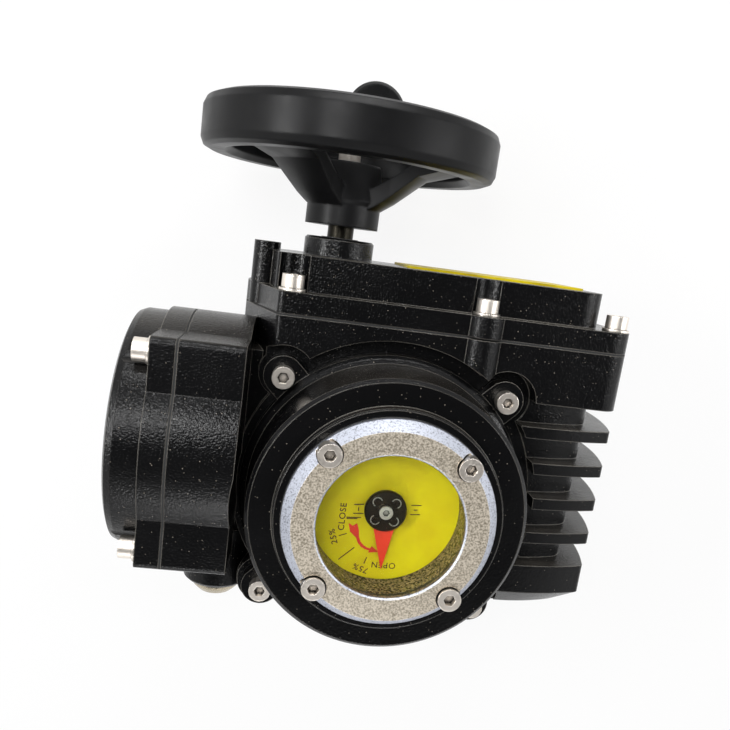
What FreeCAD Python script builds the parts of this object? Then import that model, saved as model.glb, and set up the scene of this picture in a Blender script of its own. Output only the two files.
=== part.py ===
"""Quarter-turn electric valve actuator with a handwheel on its worm shaft.

Millimetres. The origin is the centre of the valve flange's face, which the actuator stands on.
+Z is the output axis, from the valve towards the dial. +Y runs along the worm shaft towards the handwheel,
and +X runs towards the motor. The pieces are drawn with the valve open.
"""
import FreeCAD, Part
import math
import os

V = FreeCAD.Vector
X_AXIS = V(1, 0, 0)
Y_AXIS = V(0, 1, 0)
Z_AXIS = V(0, 0, 1)

# Clearances
RUN = 0.05              # radial running clearance of a shaft in its bush
FIT_GAP = 0.1           # side gap of a loose part in its seat

# Fasteners: thread radius, head radius and head height
M6 = (3.0, 5.0, 6.0)
M4 = (2.0, 3.5, 4.0)
M3 = (1.5, 2.75, 2.2)
HOLE_PLAY = 0.3         # a clearance hole is this much larger in radius than its screw
WASHER_R = 6.0
WASHER_H = 1.2
GASKET = 0.8            # thickness of the flat gaskets
THREAD_DEPTH = 14.0     # blind M6 holes in the castings

# Valve flange
F05_PCD = 50.0
F07_PCD = 70.0
F05_HOLE_R = 3.0
F07_HOLE_R = 4.0
FLANGE_R = F07_PCD / 2 + 10.0
FLANGE_H = 10.0
SQUARE_DRIVE = 17.0
SQUARE_DEPTH = 36.0

# Output parts, from the radius of the sleeve's lower journal
SLEEVE_R = F05_PCD / 2 - 8.0
COLLAR_R = SLEEVE_R + 5.0
WHEEL_SEAT_R = SLEEVE_R - 2.0
JOURNAL_R = SLEEVE_R - 5.0
LOWER_BUSH_R = SLEEVE_R + 3.0
UPPER_BUSH_R = JOURNAL_R + 3.0
OUTPUT_SEAL_R = SLEEVE_R + 4.0
OUTPUT_SEAL_H = 6.0
BUSH_FLANGE_H = 2.0
CLIP_H = 1.3
INDICATOR_SHAFT_R = 5.0

# Drum: the round part of the body around the output axis
DRUM_R = 66.0
DRUM_WALL = 14.0
BODY_TOP_Z = 88.0       # face that the indicator cover sits on
BODY_FLANGE_R = DRUM_R + 3.0
BODY_FLANGE_H = 9.0
CHAMBER_R = DRUM_R - DRUM_WALL
CHAMBER_Z = 20.0        # floor of the worm wheel's chamber
PLATE_Z = BODY_TOP_Z - 7.0      # ledge that the bearing plate lies on
PLATE_H = 5.0
LEDGE_W = 6.0

# Worm and wheel
WORM_MODULE = 1.25
WHEEL_TEETH = 40
WORM_PITCH_R = 7.0
WHEEL_W = 12.0
WORM_Z = BODY_TOP_Z - 18.0      # height of the worm axis above the valve flange
WORM_L = 24.0
WHEEL_PITCH_R = WORM_MODULE * WHEEL_TEETH / 2
WORM_X = -(WHEEL_PITCH_R + WORM_PITCH_R)
WHEEL_Z0 = WORM_Z - WHEEL_W / 2
WHEEL_Z1 = WORM_Z + WHEEL_W / 2
WHEEL_PHASE = math.pi / WHEEL_TEETH     # a gap of the wheel faces the worm
LEAD = math.pi * WORM_MODULE
SHAFT_R = 6.0           # worm shaft, also the handwheel's neck
BUSH_R = 8.5            # its bush and seal in the cover's boss
BEARING_R = 10.5        # ball bearings of the worm shaft
BEARING_W = 5.0
LOWER_BEARING_Y = -(CHAMBER_R - BEARING_W)

# Spur gear train: module and numbers of teeth
GEAR_MODULE = 1.25
MOTOR_TEETH = 16
FIRST_TEETH = (40, 16)
SECOND_TEETH = (38, 20)
SHAFT_TEETH = 32
GEAR_W = 8.0
AXLE_R = 3.5
ADDENDUM = 0.8          # in modules: stub teeth
DEDENDUM = 1.15
BACKLASH = 0.22         # a tooth is this much thinner than half the pitch
GEAR_ROOM = 1.0         # space between a gear's tips and the casting

# Gear box: levels along Y, each from the one below it
BOX_BOTTOM_Y = DRUM_R - 14.5
BOX_FLOOR_Y = BOX_BOTTOM_Y + 6.5
LOW_GEARS_Y = BOX_FLOOR_Y + 2.5
MID_GEARS_Y = LOW_GEARS_Y + GEAR_W + 4.5
TOP_GEARS_Y = MID_GEARS_Y + GEAR_W + 3.5
PARTING_Y = BOX_FLOOR_Y + 19.5
COVER_FLANGE_Y = PARTING_Y + 10.5
COVER_TOP_Y = TOP_GEARS_Y + GEAR_W + 11.5
COVER_ROOF = 4.0
BOSS_TOP_Y = COVER_TOP_Y + 8.8
POST_TOP_Y = COVER_TOP_Y + 3.5

# Gear box: limits of its outline across the worm axis
BOX_FRONT_Z = BODY_TOP_Z + 10.0
BOX_BACK_Z = 10.0
MOTOR_X = DRUM_R - 2.0
MOTOR_Z = BODY_TOP_Z - 38.0
BOX_RIGHT_X = MOTOR_X + 41.0
BOX_LEFT_X = -(DRUM_R + 7.0)
BOX_FRONT_LEFT_X = BOX_LEFT_X + 17.0
BOX_CORNER_R = 9.0
RAISED_FRONT_Z = BOX_FRONT_Z - 7.0     # the part of the cover that stands above its flange
RAISED_BACK_Z = BOX_BACK_Z + 13.0
RAISED_RIGHT_X = BOX_RIGHT_X - 13.0
RAISED_WALL = 4.5
INNER_FRONT_Z = RAISED_FRONT_Z - 2 * RAISED_WALL
FRONT_SCREW_Z = BOX_FRONT_Z - 6.0
PILLAR_Z = BOX_FRONT_Z - 4.0
BACK_SCREW_Z = BOX_BACK_Z + 7.0
PILLAR_X = MOTOR_X - 28.0
BOX_SCREWS = ((BOX_FRONT_LEFT_X + 5.0, FRONT_SCREW_Z), (PILLAR_X, PILLAR_Z),
              (BOX_RIGHT_X - 7.0, FRONT_SCREW_Z - 1.0), (BOX_FRONT_LEFT_X + 7.0, BACK_SCREW_Z),
              (PILLAR_X, BACK_SCREW_Z - 1.0), (BOX_RIGHT_X - 7.0, BACK_SCREW_Z))
PILLAR_R = 8.5          # screw pillar in the middle of the box's front
PILLAR_BOTTOM_Y = BOX_FLOOR_Y + 2.0
POST_R = 6.2            # post at the cover's left end
POST_X = BOX_LEFT_X + POST_R + 2.0
POST_Z = WORM_Z - 8.0
BOSS_R = 16.0           # handwheel boss on the cover
LABEL_X = (PILLAR_X - 36.0, RAISED_RIGHT_X - 7.0)
LABEL_Z = (RAISED_BACK_Z + 5.0, RAISED_FRONT_Z - 13.0)
LABEL_H = 1.0

# Motor can
CAN_CROWN = 48.0        # half width of a fin at the middle of a side
CAN_CORNER = 41.3       # half width of a fin at its corners
CORE_INSET = 9.5
FIN_TOP_Y = BOX_BOTTOM_Y - 11.0
FIN_PITCH = 17.1
FIN_H = 5.5
FIN_COUNT = 4
CAN_BOTTOM_Y = FIN_TOP_Y - FIN_COUNT * FIN_PITCH - 23.1
CAN_CHAMFER = 9.0
STATOR_R = 25.0
STATOR_L = 48.0
MOTOR_SIDE_X = MOTOR_X - STATOR_R - 11.0        # flat side of the chamber, next to the motor
ROTOR_R = STATOR_R - 11.0
ROTOR_SHAFT_R = 5.0
MOTOR_PLATE_R = STATOR_R + 5.0
MOTOR_PLATE_H = 4.0
MOTOR_BEARING_R = ROTOR_SHAFT_R + 6.0
MOTOR_BEARING_W = 7.0
MOTOR_CAVITY_Y = CAN_BOTTOM_Y + MOTOR_BEARING_W + 2.0

# Terminal compartment
TERM_R = 57.0
TERM_Y = 15.5
TERM_Z = BODY_TOP_Z - 15.7
TERM_SQUARE = TERM_R - 7.0      # half width of the square flange
TERM_SCREW = TERM_SQUARE - 7.0  # half the screws' spacing along Y and Z
TERM_CAP_R = TERM_R - 2.0
TERM_WALL = 7.0
TERM_BACK = 6.0         # thickness of the compartment's inner wall
TERM_INNER_X = -(DRUM_R + TERM_BACK)
TERM_SEAM_X = TERM_INNER_X - 22.0
TERM_FLANGE_H = 10.5
TERM_END_X = TERM_SEAM_X - TERM_FLANGE_H - 15.0
TERM_CAP_WALL = 4.5
TERM_NECK_R = TERM_R - 12.0     # joins the compartment to the drum
TERM_NECK_X = -(CHAMBER_R - 6.0)
CONDUIT_R = 10.0
CONDUIT_BOSS_R = CONDUIT_R + 6.0
CONDUIT_X = TERM_INNER_X - 1.0
CONDUIT_END_Y = TERM_Y - TERM_R - 16.5
PASSAGE_R = 7.0         # wire passage to the switches
PASSAGE_Z = PLATE_Z - 31.0

# Indicator cover
COVER_FLANGE_R = BODY_FLANGE_R - 3.5
COVER_FLANGE_TOP_Z = BODY_TOP_Z + 9.0
COVER_DRUM_R = COVER_FLANGE_R - 3.5
COVER_FACE_R = COVER_DRUM_R - 1.6
COVER_FACE_Z = BODY_TOP_Z + 38.0
COVER_STEP_Z = COVER_FACE_Z + 4.0
COVER_WALL = 6.0
LUG_PCD = 2 * (DRUM_R + 5.6)
LUG_R = 9.0
LUG_H = 6.5
BODY_LUG_R = LUG_R + 2.5
BODY_LUG_H = 20.0
POCKET_R = BODY_FLANGE_R + 3.0          # room around the cover in the box's front
POCKET_LUG_R = BODY_LUG_R + 2.5
LUG_ANGLES = (45.0, 135.0, 225.0, 315.0)

# Window
RING_R = 45.3
RING_FACE_R = RING_R - 4.1
RING_BORE_R = RING_R - 14.3
RING_PCD = 2 * (RING_R - 4.6)
RING_SEAT_Z = COVER_FACE_Z + 1.0
RING_EDGE_Z = RING_SEAT_Z + 4.8
RING_TOP_Z = RING_EDGE_Z + 4.9
RING_SCREW_DEPTH = 4.4
RING_THREAD = 8.0
GLASS_R = RING_R - 10.3
GLASS_H = 4.7
GLASS_GASKET_H = 2.5
WELL_R = RING_BORE_R + 2.0
WELL_WALL = 4.0
COVER_STEP_R = RING_R + 3.7

# Dial and what it shows
DIAL_Z = COVER_FACE_Z - 16.0
DIAL_H = 1.2
DIAL_R = WELL_R + 5.0
DIAL_POSTS = (90.0, 205.0, 300.0)
DIAL_POST_ORBIT = DIAL_R - 5.0
DIAL_POST_R = 3.0
POINTER_L = RING_BORE_R - 5.5
POINTER_W = 9.2
POINTER_H = 1.0
HUB_R = 9.35
HUB_H = 2.2
CAM_R = 14.0
CAM_LOBE_R = CAM_R + 4.0
CAM_H = 5.0
CAM_Z = (PLATE_Z + PLATE_H + 3.5, PLATE_Z + PLATE_H + CAM_H + 6.5)
SWITCH_SIZE = (20.0, 10.0, 6.4)
SWITCH_ORBIT = CAM_LOBE_R + 14.0        # from the output axis to the middle of a switch
ROLLER_R = 2.4

# Handwheel
WHEEL_RIM_R = 66.0
WHEEL_RIM_W = 13.0
WHEEL_RIM_H = 21.0
WHEEL_HUB_R = 16.75
WHEEL_HUB_H = 27.7
WHEEL_HUB_BOTTOM_Y = BOSS_TOP_Y + 5.5
WHEEL_HUB_TOP_Y = WHEEL_HUB_BOTTOM_Y + WHEEL_HUB_H
WHEEL_BOTTOM_Y = WHEEL_HUB_BOTTOM_Y + 25.7
WHEEL_TOP_Y = WHEEL_BOTTOM_Y + WHEEL_RIM_H
SPOKE_AZIMUTHS = (45.0, 165.0, 285.0)    # from +Z towards -X
SPOKE_T = 5.0
SPOKE_W = (9.0, 12.0, 20.0)       # half widths at the axis, 22 mm out and beyond the rim

# Folding grip
GRIP_X = WORM_X + 9.0
GRIP_Y = WHEEL_TOP_Y + 4.5
GRIP_R = 13.2
GRIP_L = 48.0
GRIP_NECK_R = 9.0
GRIP_ROD_R = 4.0
GRIP_PIN_R = 3.0
PIVOT_Z = WORM_Z - WHEEL_RIM_R + 8.0
PIVOT_W = 16.0          # width between the cheeks of the grip's hinge
PIVOT_CHEEK = 4.0
PIVOT_R = 7.0
GRIP_START_Z = PIVOT_Z + 13.0
GRIP_END_Z = GRIP_START_Z + GRIP_L


def box(x, y, z):
    """Block between the two limits given on each axis."""
    return Part.makeBox(x[1] - x[0], y[1] - y[0], z[1] - z[0], V(x[0], y[0], z[0]))


def rod(radius, start, end):
    """Round bar from start to end."""
    a = V(*start)
    span = V(*end) - a
    return Part.makeCylinder(radius, span.Length, a, span)


def tube(outer, inner, start, end):
    return rod(outer, start, end).cut(rod(inner, start, end))


def turned(profile, centre, axis):
    """Body of revolution. The profile lists (radius, distance along the axis from centre)."""
    points = [V(r, 0, t) for r, t in profile]
    face = Part.Face(Part.makePolygon(points + points[:1]))
    solid = face.revolve(V(0, 0, 0), Z_AXIS, 360)
    solid.Placement = FreeCAD.Placement(V(*centre), FreeCAD.Rotation(Z_AXIS, axis))
    return solid


def on_plane(plane, u, v, level):
    """Point of a plan: xy, xz or yz, at a level on the third axis."""
    if plane == "xy":
        return V(u, v, level)
    if plane == "xz":
        return V(u, level, v)
    return V(level, u, v)


def plan_wire(plane, corners, level):
    """Closed outline through corners (u, v, radius), each rounded with its radius."""
    count = len(corners)
    edges = []
    ends = []
    for i, (u, v, radius) in enumerate(corners):
        here = V(u, v, 0)
        before = V(*corners[i - 1][:2], 0) - here
        after = V(*corners[(i + 1) % count][:2], 0) - here
        before.normalize()
        after.normalize()
        if radius == 0:
            ends.append((here, here, here))
            continue
        half = before.getAngle(after) / 2
        back = radius / math.tan(half)
        middle = before + after
        middle.normalize()
        tip = here + middle * (radius / math.sin(half) - radius)
        ends.append((here + before * back, tip, here + after * back))
    for i, (start, tip, end) in enumerate(ends):
        a = on_plane(plane, start.x, start.y, level)
        b = on_plane(plane, tip.x, tip.y, level)
        c = on_plane(plane, end.x, end.y, level)
        follow = ends[(i + 1) % count][0]
        d = on_plane(plane, follow.x, follow.y, level)
        if (c - a).Length > 1e-6:
            edges.append(Part.Arc(a, b, c).toShape())
        if (d - c).Length > 1e-6:
            edges.append(Part.LineSegment(c, d).toShape())
    return Part.Wire(edges)


def slab(plane, corners, low, high):
    """Straight slab over a plan outline, from low to high on the third axis."""
    face = Part.Face(plan_wire(plane, corners, low))
    return face.extrude(on_plane(plane, 0, 0, high - low))


def fused(shapes):
    shapes = list(shapes)
    return shapes[0].multiFuse(shapes[1:]).removeSplitter()


def on_circle(pcd, angles, z):
    return [(pcd / 2 * math.cos(math.radians(a)), pcd / 2 * math.sin(math.radians(a)), z) for a in angles]


def offset(point, axis, distance):
    return tuple(V(*point) + V(axis) * distance)


def cap_screw(size, seat, axis, length, socket=True):
    """Socket head screw. Its head stands on seat along axis and its shank goes the other way."""
    radius, head_r, head_h = size
    head = rod(head_r, seat, offset(seat, axis, head_h))
    if socket:
        depth = head_h * 0.5
        hexagon = Part.makePolygon([V(head_r * 0.52 * math.cos(i * math.pi / 3),
                                      head_r * 0.52 * math.sin(i * math.pi / 3), 0) for i in range(7)])
        key = Part.Face(hexagon).extrude(V(0, 0, depth + 1))
        key.Placement = FreeCAD.Placement(V(*offset(seat, axis, head_h - depth)),
                                          FreeCAD.Rotation(Z_AXIS, axis))
        head = head.cut(key)
    return head.fuse(rod(radius, offset(seat, axis, -length), seat))


def washer(seat, axis):
    return tube(WASHER_R, M6[0] + HOLE_PLAY, seat, offset(seat, axis, WASHER_H))


def group(shapes):
    return Part.makeCompound(list(shapes))


# Gear geometry

def involute(angle):
    return math.tan(angle) - angle


def tooth_points(teeth, module, thin):
    """Half tooth, root to tip, as (radius, half angle in radians) on an involute flank."""
    pitch_r = module * teeth / 2
    base_r = pitch_r * math.cos(math.radians(20))
    half = (math.pi * module / 2 - thin) / 2 / pitch_r
    root_r = pitch_r - DEDENDUM * module
    tip_r = pitch_r + ADDENDUM * module
    radii = (pitch_r, max(root_r, base_r), tip_r)
    at_pitch, at_root, at_tip = (involute(math.acos(base_r / r)) for r in radii)
    root_angle = half + at_pitch - at_root
    tip_angle = half + at_pitch - at_tip
    return ((root_r, root_angle), (pitch_r, half), (tip_r, tip_angle))


def gear_wire(teeth, module, centre, phase, plane, level, thin=BACKLASH):
    """Gear outline. Angles turn by the right-hand rule about the gear's own axis, +Y on xz and +Z on xy."""
    flank = tooth_points(teeth, module, thin)
    points = []
    for i in range(teeth):
        middle = phase + 2 * math.pi * i / teeth
        around = [(r, middle - a) for r, a in flank] + [(r, middle + a) for r, a in reversed(flank)]
        for r, angle in around:
            if plane == "xz":
                u = centre[0] + r * math.sin(angle)
                v = centre[1] + r * math.cos(angle)
            else:
                u = centre[0] + r * math.cos(angle)
                v = centre[1] + r * math.sin(angle)
            points.append(on_plane(plane, u, v, level))
    return Part.makePolygon(points + points[:1])


def spur_gear(teeth, centre, phase, low, bore):
    face = Part.Face(gear_wire(teeth, GEAR_MODULE, centre, phase, "xz", low))
    blank = face.extrude(V(0, GEAR_W, 0))
    return blank.cut(rod(bore, (centre[0], low - 1, centre[1]), (centre[0], low + GEAR_W + 1, centre[1])))


def heading(a, b):
    """Angle about +Y of the line from a to b, both (x, z)."""
    return math.atan2(b[0] - a[0], b[1] - a[1])


def meshed_phase(teeth_a, phase_a, teeth_b, line):
    """Phase of gear b that meshes with gear a, when the line from a to b has the given heading."""
    pitch_a = 2 * math.pi / teeth_a
    pitch_b = 2 * math.pi / teeth_b
    share = (line - phase_a) / pitch_a
    return line + math.pi - pitch_b * (0.5 - share)


def spur_distance(teeth_a, teeth_b):
    return GEAR_MODULE * (teeth_a + teeth_b) / 2


MOTOR_AXIS = (MOTOR_X, MOTOR_Z)
WORM_AXIS = (WORM_X, WORM_Z)
FIRST_AXIS = (MOTOR_X - spur_distance(MOTOR_TEETH, FIRST_TEETH[0]), MOTOR_Z)


def second_axis():
    """The second compound gear's axis, below the line from the first one to the worm shaft."""
    to_first = spur_distance(FIRST_TEETH[1], SECOND_TEETH[0])
    to_worm = spur_distance(SECOND_TEETH[1], SHAFT_TEETH)
    dx = WORM_AXIS[0] - FIRST_AXIS[0]
    dz = WORM_AXIS[1] - FIRST_AXIS[1]
    span = math.hypot(dx, dz)
    along = (to_first ** 2 - to_worm ** 2 + span ** 2) / (2 * span)
    aside = math.sqrt(to_first ** 2 - along ** 2)
    return (FIRST_AXIS[0] + (along * dx - aside * dz) / span,
            FIRST_AXIS[1] + (along * dz + aside * dx) / span)


SECOND_AXIS = second_axis()
if SECOND_AXIS[1] > (FIRST_AXIS[1] + WORM_AXIS[1]) / 2:
    raise ValueError("the second gear stands on the wrong side of the train")


# Outlines of the gear box, seen along Y

def box_outline():
    return [(BOX_FRONT_LEFT_X, BOX_FRONT_Z, 3.0), (BOX_RIGHT_X, BOX_FRONT_Z, BOX_CORNER_R),
            (BOX_RIGHT_X, BOX_BACK_Z, BOX_CORNER_R), (BOX_FRONT_LEFT_X, BOX_BACK_Z, 8.0),
            (BOX_LEFT_X, BOX_BACK_Z + 28.0, 8.0), (BOX_LEFT_X, BOX_FRONT_Z - 48.0, 8.0)]


def raised_outline():
    left = BOX_LEFT_X + 9.0
    return [(BOX_FRONT_LEFT_X - 2.5, RAISED_FRONT_Z, 3.0), (RAISED_RIGHT_X, RAISED_FRONT_Z, 10.0),
            (RAISED_RIGHT_X, RAISED_BACK_Z, 10.0), (BOX_FRONT_LEFT_X + 2.0, RAISED_BACK_Z, 8.0),
            (left, BOX_BACK_Z + 30.0, 8.0), (left, BOX_FRONT_Z - 48.0, 8.0)]


def inner_outline():
    left = BOX_LEFT_X + 14.0
    back = RAISED_BACK_Z + RAISED_WALL
    right = RAISED_RIGHT_X - RAISED_WALL
    return [(BOX_FRONT_LEFT_X + 2.0, INNER_FRONT_Z, 6.0), (right, INNER_FRONT_Z, 8.0), (right, back, 4.0),
            (BOX_FRONT_LEFT_X + 8.0, back, 8.0), (left, BOX_BACK_Z + 33.0, 6.0),
            (left, BOX_FRONT_Z - 44.0, 6.0)]


def barrel_outline(crown, corner, low, high, corner_r):
    """Square can with bowed sides about the motor axis, between two levels on Y."""
    x, z = MOTOR_AXIS
    ends = [(-1, -1), (1, -1), (1, 1), (-1, 1)]
    edges = []
    for i, (a, b) in enumerate(ends):
        c, d = ends[(i + 1) % 4]
        start = V(x + a * corner, low, z + b * corner)
        end = V(x + c * corner, low, z + d * corner)
        middle = V(x + (a + c) / 2 * crown, low, z + (b + d) / 2 * crown)
        edges.append(Part.Arc(start, middle, end).toShape())
    solid = Part.Face(Part.Wire(edges)).extrude(V(0, high - low, 0))
    upright = [e for e in solid.Edges if abs(e.tangentAt(e.FirstParameter).dot(Y_AXIS)) > 0.99]
    return solid.makeFillet(corner_r, upright)


# The body casting and its hollows

def motor_can():
    core = barrel_outline(CAN_CROWN - CORE_INSET, CAN_CORNER - CORE_INSET, CAN_BOTTOM_Y + CAN_CHAMFER,
                          BOX_FLOOR_Y, 10.0)
    fins = [barrel_outline(CAN_CROWN, CAN_CORNER, FIN_TOP_Y - i * FIN_PITCH - FIN_H,
                           FIN_TOP_Y - i * FIN_PITCH, 3.0) for i in range(FIN_COUNT)]
    bevel_y = CAN_BOTTOM_Y + CAN_CHAMFER
    end = barrel_outline(CAN_CROWN, CAN_CORNER, bevel_y, FIN_TOP_Y - FIN_COUNT * FIN_PITCH, 3.0)
    tip = barrel_outline(CAN_CROWN - CAN_CHAMFER, CAN_CORNER - CAN_CHAMFER, CAN_BOTTOM_Y, bevel_y, 3.0)
    bevel = Part.makeLoft([face_wire(tip, CAN_BOTTOM_Y), face_wire(end, bevel_y)], True, True)
    return [core, end, bevel] + fins


def face_wire(solid, level):
    """Outline of the flat face that a solid has at a level on Y."""
    flat = [f for f in solid.Faces if abs(f.BoundBox.YMin - level) + abs(f.BoundBox.YMax - level) < 1e-4]
    return flat[0].OuterWire


def cover_pocket():
    """Room for the indicator cover in front of the body's top face."""
    parts = [rod(POCKET_R, (0, 0, BODY_TOP_Z), (0, 0, COVER_FACE_Z))]
    parts += [rod(POCKET_LUG_R, (x, y, z), (x, y, COVER_FACE_Z))
              for x, y, z in on_circle(LUG_PCD, LUG_ANGLES, BODY_TOP_Z)]
    return fused(parts)


def body_outside():
    drum = turned([(0, 0), (FLANGE_R - 1, 0), (FLANGE_R, 1), (FLANGE_R, FLANGE_H), (DRUM_R - 6, FLANGE_H),
                   (DRUM_R, FLANGE_H + 6), (DRUM_R, BODY_TOP_Z - BODY_FLANGE_H - 3),
                   (BODY_FLANGE_R, BODY_TOP_Z - BODY_FLANGE_H), (BODY_FLANGE_R, BODY_TOP_Z), (0, BODY_TOP_Z)],
                  (0, 0, 0), Z_AXIS)
    lugs = [rod(BODY_LUG_R, (x, y, z - BODY_LUG_H), (x, y, z))
            for x, y, z in on_circle(LUG_PCD, LUG_ANGLES, BODY_TOP_Z)]
    gear_box = slab("xz", box_outline(), BOX_BOTTOM_Y, PARTING_Y)
    pillar = rod(PILLAR_R, (PILLAR_X, PILLAR_BOTTOM_Y, PILLAR_Z), (PILLAR_X, PARTING_Y, PILLAR_Z))
    right = fused([drum, gear_box, pillar] + lugs + motor_can()).cut(cover_pocket())
    return fused([right, terminal_outside().cut(cover_side())])


def cover_side():
    return rod(COVER_FLANGE_R + 1.5, (0, 0, BODY_TOP_Z), (0, 0, COVER_FACE_Z + 10))


def terminal_square(x0, x1):
    half = TERM_SQUARE
    corners = [(TERM_Y + a * half, TERM_Z + b * half, 3.0) for a, b in ((-1, -1), (1, -1), (1, 1), (-1, 1))]
    return slab("yz", corners, x0, x1)


def terminal_outside():
    inner_end = TERM_INNER_X + TERM_BACK
    round_part = rod(TERM_R, (TERM_SEAM_X + GASKET, TERM_Y, TERM_Z), (inner_end, TERM_Y, TERM_Z))
    square_part = terminal_square(TERM_SEAM_X + GASKET, inner_end)
    neck = rod(TERM_NECK_R, (TERM_INNER_X, TERM_Y, TERM_Z), (TERM_NECK_X, TERM_Y, TERM_Z))
    neck = neck.cut(box((-100, 0), (-100, 100), (BODY_TOP_Z - 4, 200)))
    boss = turned([(0, 0), (CONDUIT_BOSS_R - 1.5, 0), (CONDUIT_BOSS_R, 1.5), (CONDUIT_BOSS_R, 30), (0, 30)],
                  (CONDUIT_X, CONDUIT_END_Y, TERM_Z), Y_AXIS)
    return fused([round_part, square_part, neck, boss])


def chamber():
    """Hollow of the worm wheel, with a flat side towards the motor, and the ledge for the bearing plate."""
    low = rod(CHAMBER_R, (0, 0, CHAMBER_Z), (0, 0, PLATE_Z))
    high = rod(CHAMBER_R + LEDGE_W, (0, 0, PLATE_Z), (0, 0, BODY_TOP_Z + 1))
    side = box((MOTOR_SIDE_X, DRUM_R), (-DRUM_R, DRUM_R), (0, BODY_TOP_Z + 2))
    return fused([low, high]).cut(side)


def body_hollows():
    x, z = WORM_AXIS
    hollows = [
        chamber(),
        rod(LOWER_BUSH_R, (0, 0, 1), (0, 0, CHAMBER_Z + 1)),
        rod(OUTPUT_SEAL_R, (0, 0, -1), (0, 0, OUTPUT_SEAL_H + 1)),
        slab("xz", inner_outline(), BOX_FLOOR_Y, PARTING_Y + 1),
        rod(room_radius(SHAFT_TEETH), (x, MID_GEARS_Y - 1, z), (x, PARTING_Y + 1, z)),
        rod(room_radius(FIRST_TEETH[0]), (FIRST_AXIS[0], BOX_FLOOR_Y, FIRST_AXIS[1]),
            (FIRST_AXIS[0], LOW_GEARS_Y + GEAR_W + 1, FIRST_AXIS[1])),
        rod(BEARING_R, (x, LOWER_BEARING_Y, z), (x, 0, z)),
        rod(BEARING_R, (x, 0, z), (x, BOX_FLOOR_Y + 1, z)),
        rod(STATOR_R, (MOTOR_X, MOTOR_CAVITY_Y, MOTOR_Z), (MOTOR_X, BOX_FLOOR_Y + 1, MOTOR_Z)),
        rod(MOTOR_PLATE_R + FIT_GAP, (MOTOR_X, BOX_FLOOR_Y - MOTOR_PLATE_H, MOTOR_Z),
            (MOTOR_X, BOX_FLOOR_Y + 1, MOTOR_Z)),
        rod(MOTOR_BEARING_R, (MOTOR_X, MOTOR_CAVITY_Y - MOTOR_BEARING_W, MOTOR_Z),
            (MOTOR_X, MOTOR_CAVITY_Y + 1, MOTOR_Z)),
        rod(TERM_R - TERM_WALL, (TERM_SEAM_X - 1, TERM_Y, TERM_Z), (TERM_INNER_X, TERM_Y, TERM_Z)),
        rod(CONDUIT_R, (CONDUIT_X, CONDUIT_END_Y - 1, TERM_Z), (CONDUIT_X, conduit_top(), TERM_Z)),
        rod(PASSAGE_R, (TERM_INNER_X - 1, TERM_Y, PASSAGE_Z), (-CHAMBER_R + 4, TERM_Y, PASSAGE_Z)),
    ]
    hollows += [rod(AXLE_R, (ax, BOX_FLOOR_Y - 4, az), (ax, BOX_FLOOR_Y + 1, az))
                for ax, az in (FIRST_AXIS, SECOND_AXIS)]
    return hollows


def conduit_top():
    """The conduit's bore ends just inside the compartment's round wall."""
    return TERM_Y - TERM_R + TERM_WALL + 6


def room_radius(teeth):
    """Radius of the room that a spur gear needs in the casting."""
    return GEAR_MODULE * (teeth / 2 + ADDENDUM) + GEAR_ROOM


def body_holes():
    holes = [rod(radius, (x, y, z), (x, y, THREAD_DEPTH)) for radius, pcd in ((F05_HOLE_R, F05_PCD),
             (F07_HOLE_R, F07_PCD)) for x, y, z in on_circle(pcd, LUG_ANGLES, -1)]
    holes += [rod(M6[0], (x, y, z - THREAD_DEPTH), (x, y, z + 1))
              for x, y, z in on_circle(LUG_PCD, LUG_ANGLES, BODY_TOP_Z)]
    holes += [rod(M6[0], (x, PARTING_Y - THREAD_DEPTH, z), (x, PARTING_Y + 1, z)) for x, z in BOX_SCREWS]
    holes += [rod(M6[0], (TERM_SEAM_X - 1, y, z), (TERM_SEAM_X + THREAD_DEPTH + 2, y, z))
              for y, z in terminal_screw_places()]
    holes += [rod(M4[0], (x, y, PLATE_Z - 10), (x, y, PLATE_Z + 1)) for x, y in plate_screw_places()]
    holes += [rod(M3[0], (x, BOX_FLOOR_Y - MOTOR_PLATE_H - 8, z), (x, BOX_FLOOR_Y, z))
              for x, z in motor_screw_places()]
    holes += [rod(M4[0], (TERM_INNER_X - 1, y, z), (TERM_INNER_X + 8, y, z))
              for y, z in block_screw_places() + [earth_place()]]
    return holes


def terminal_screw_places():
    signs = ((-1, -1), (1, -1), (1, 1), (-1, 1))
    return [(TERM_Y + a * TERM_SCREW, TERM_Z + b * TERM_SCREW) for a, b in signs]


def plate_screw_places():
    reach = CHAMBER_R + LEDGE_W / 2 - 0.2
    angles = [math.radians(a) for a in (75, 165, 195, 285)]
    return [(reach * math.cos(a), reach * math.sin(a)) for a in angles]


def motor_screw_places():
    reach = (STATOR_R + MOTOR_PLATE_R) / 2
    return [(MOTOR_X + reach * math.cos(math.radians(a)), MOTOR_Z + reach * math.sin(math.radians(a)))
            for a in LUG_ANGLES]


def block_screw_places():
    return [(TERM_Y + a * 26.0, TERM_Z) for a in (-1, 1)]


def gearbox_body():
    body = body_outside()
    body = body.cut(fused(body_hollows()))
    return body.cut(group(body_holes()))


# Covers and gaskets

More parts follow.
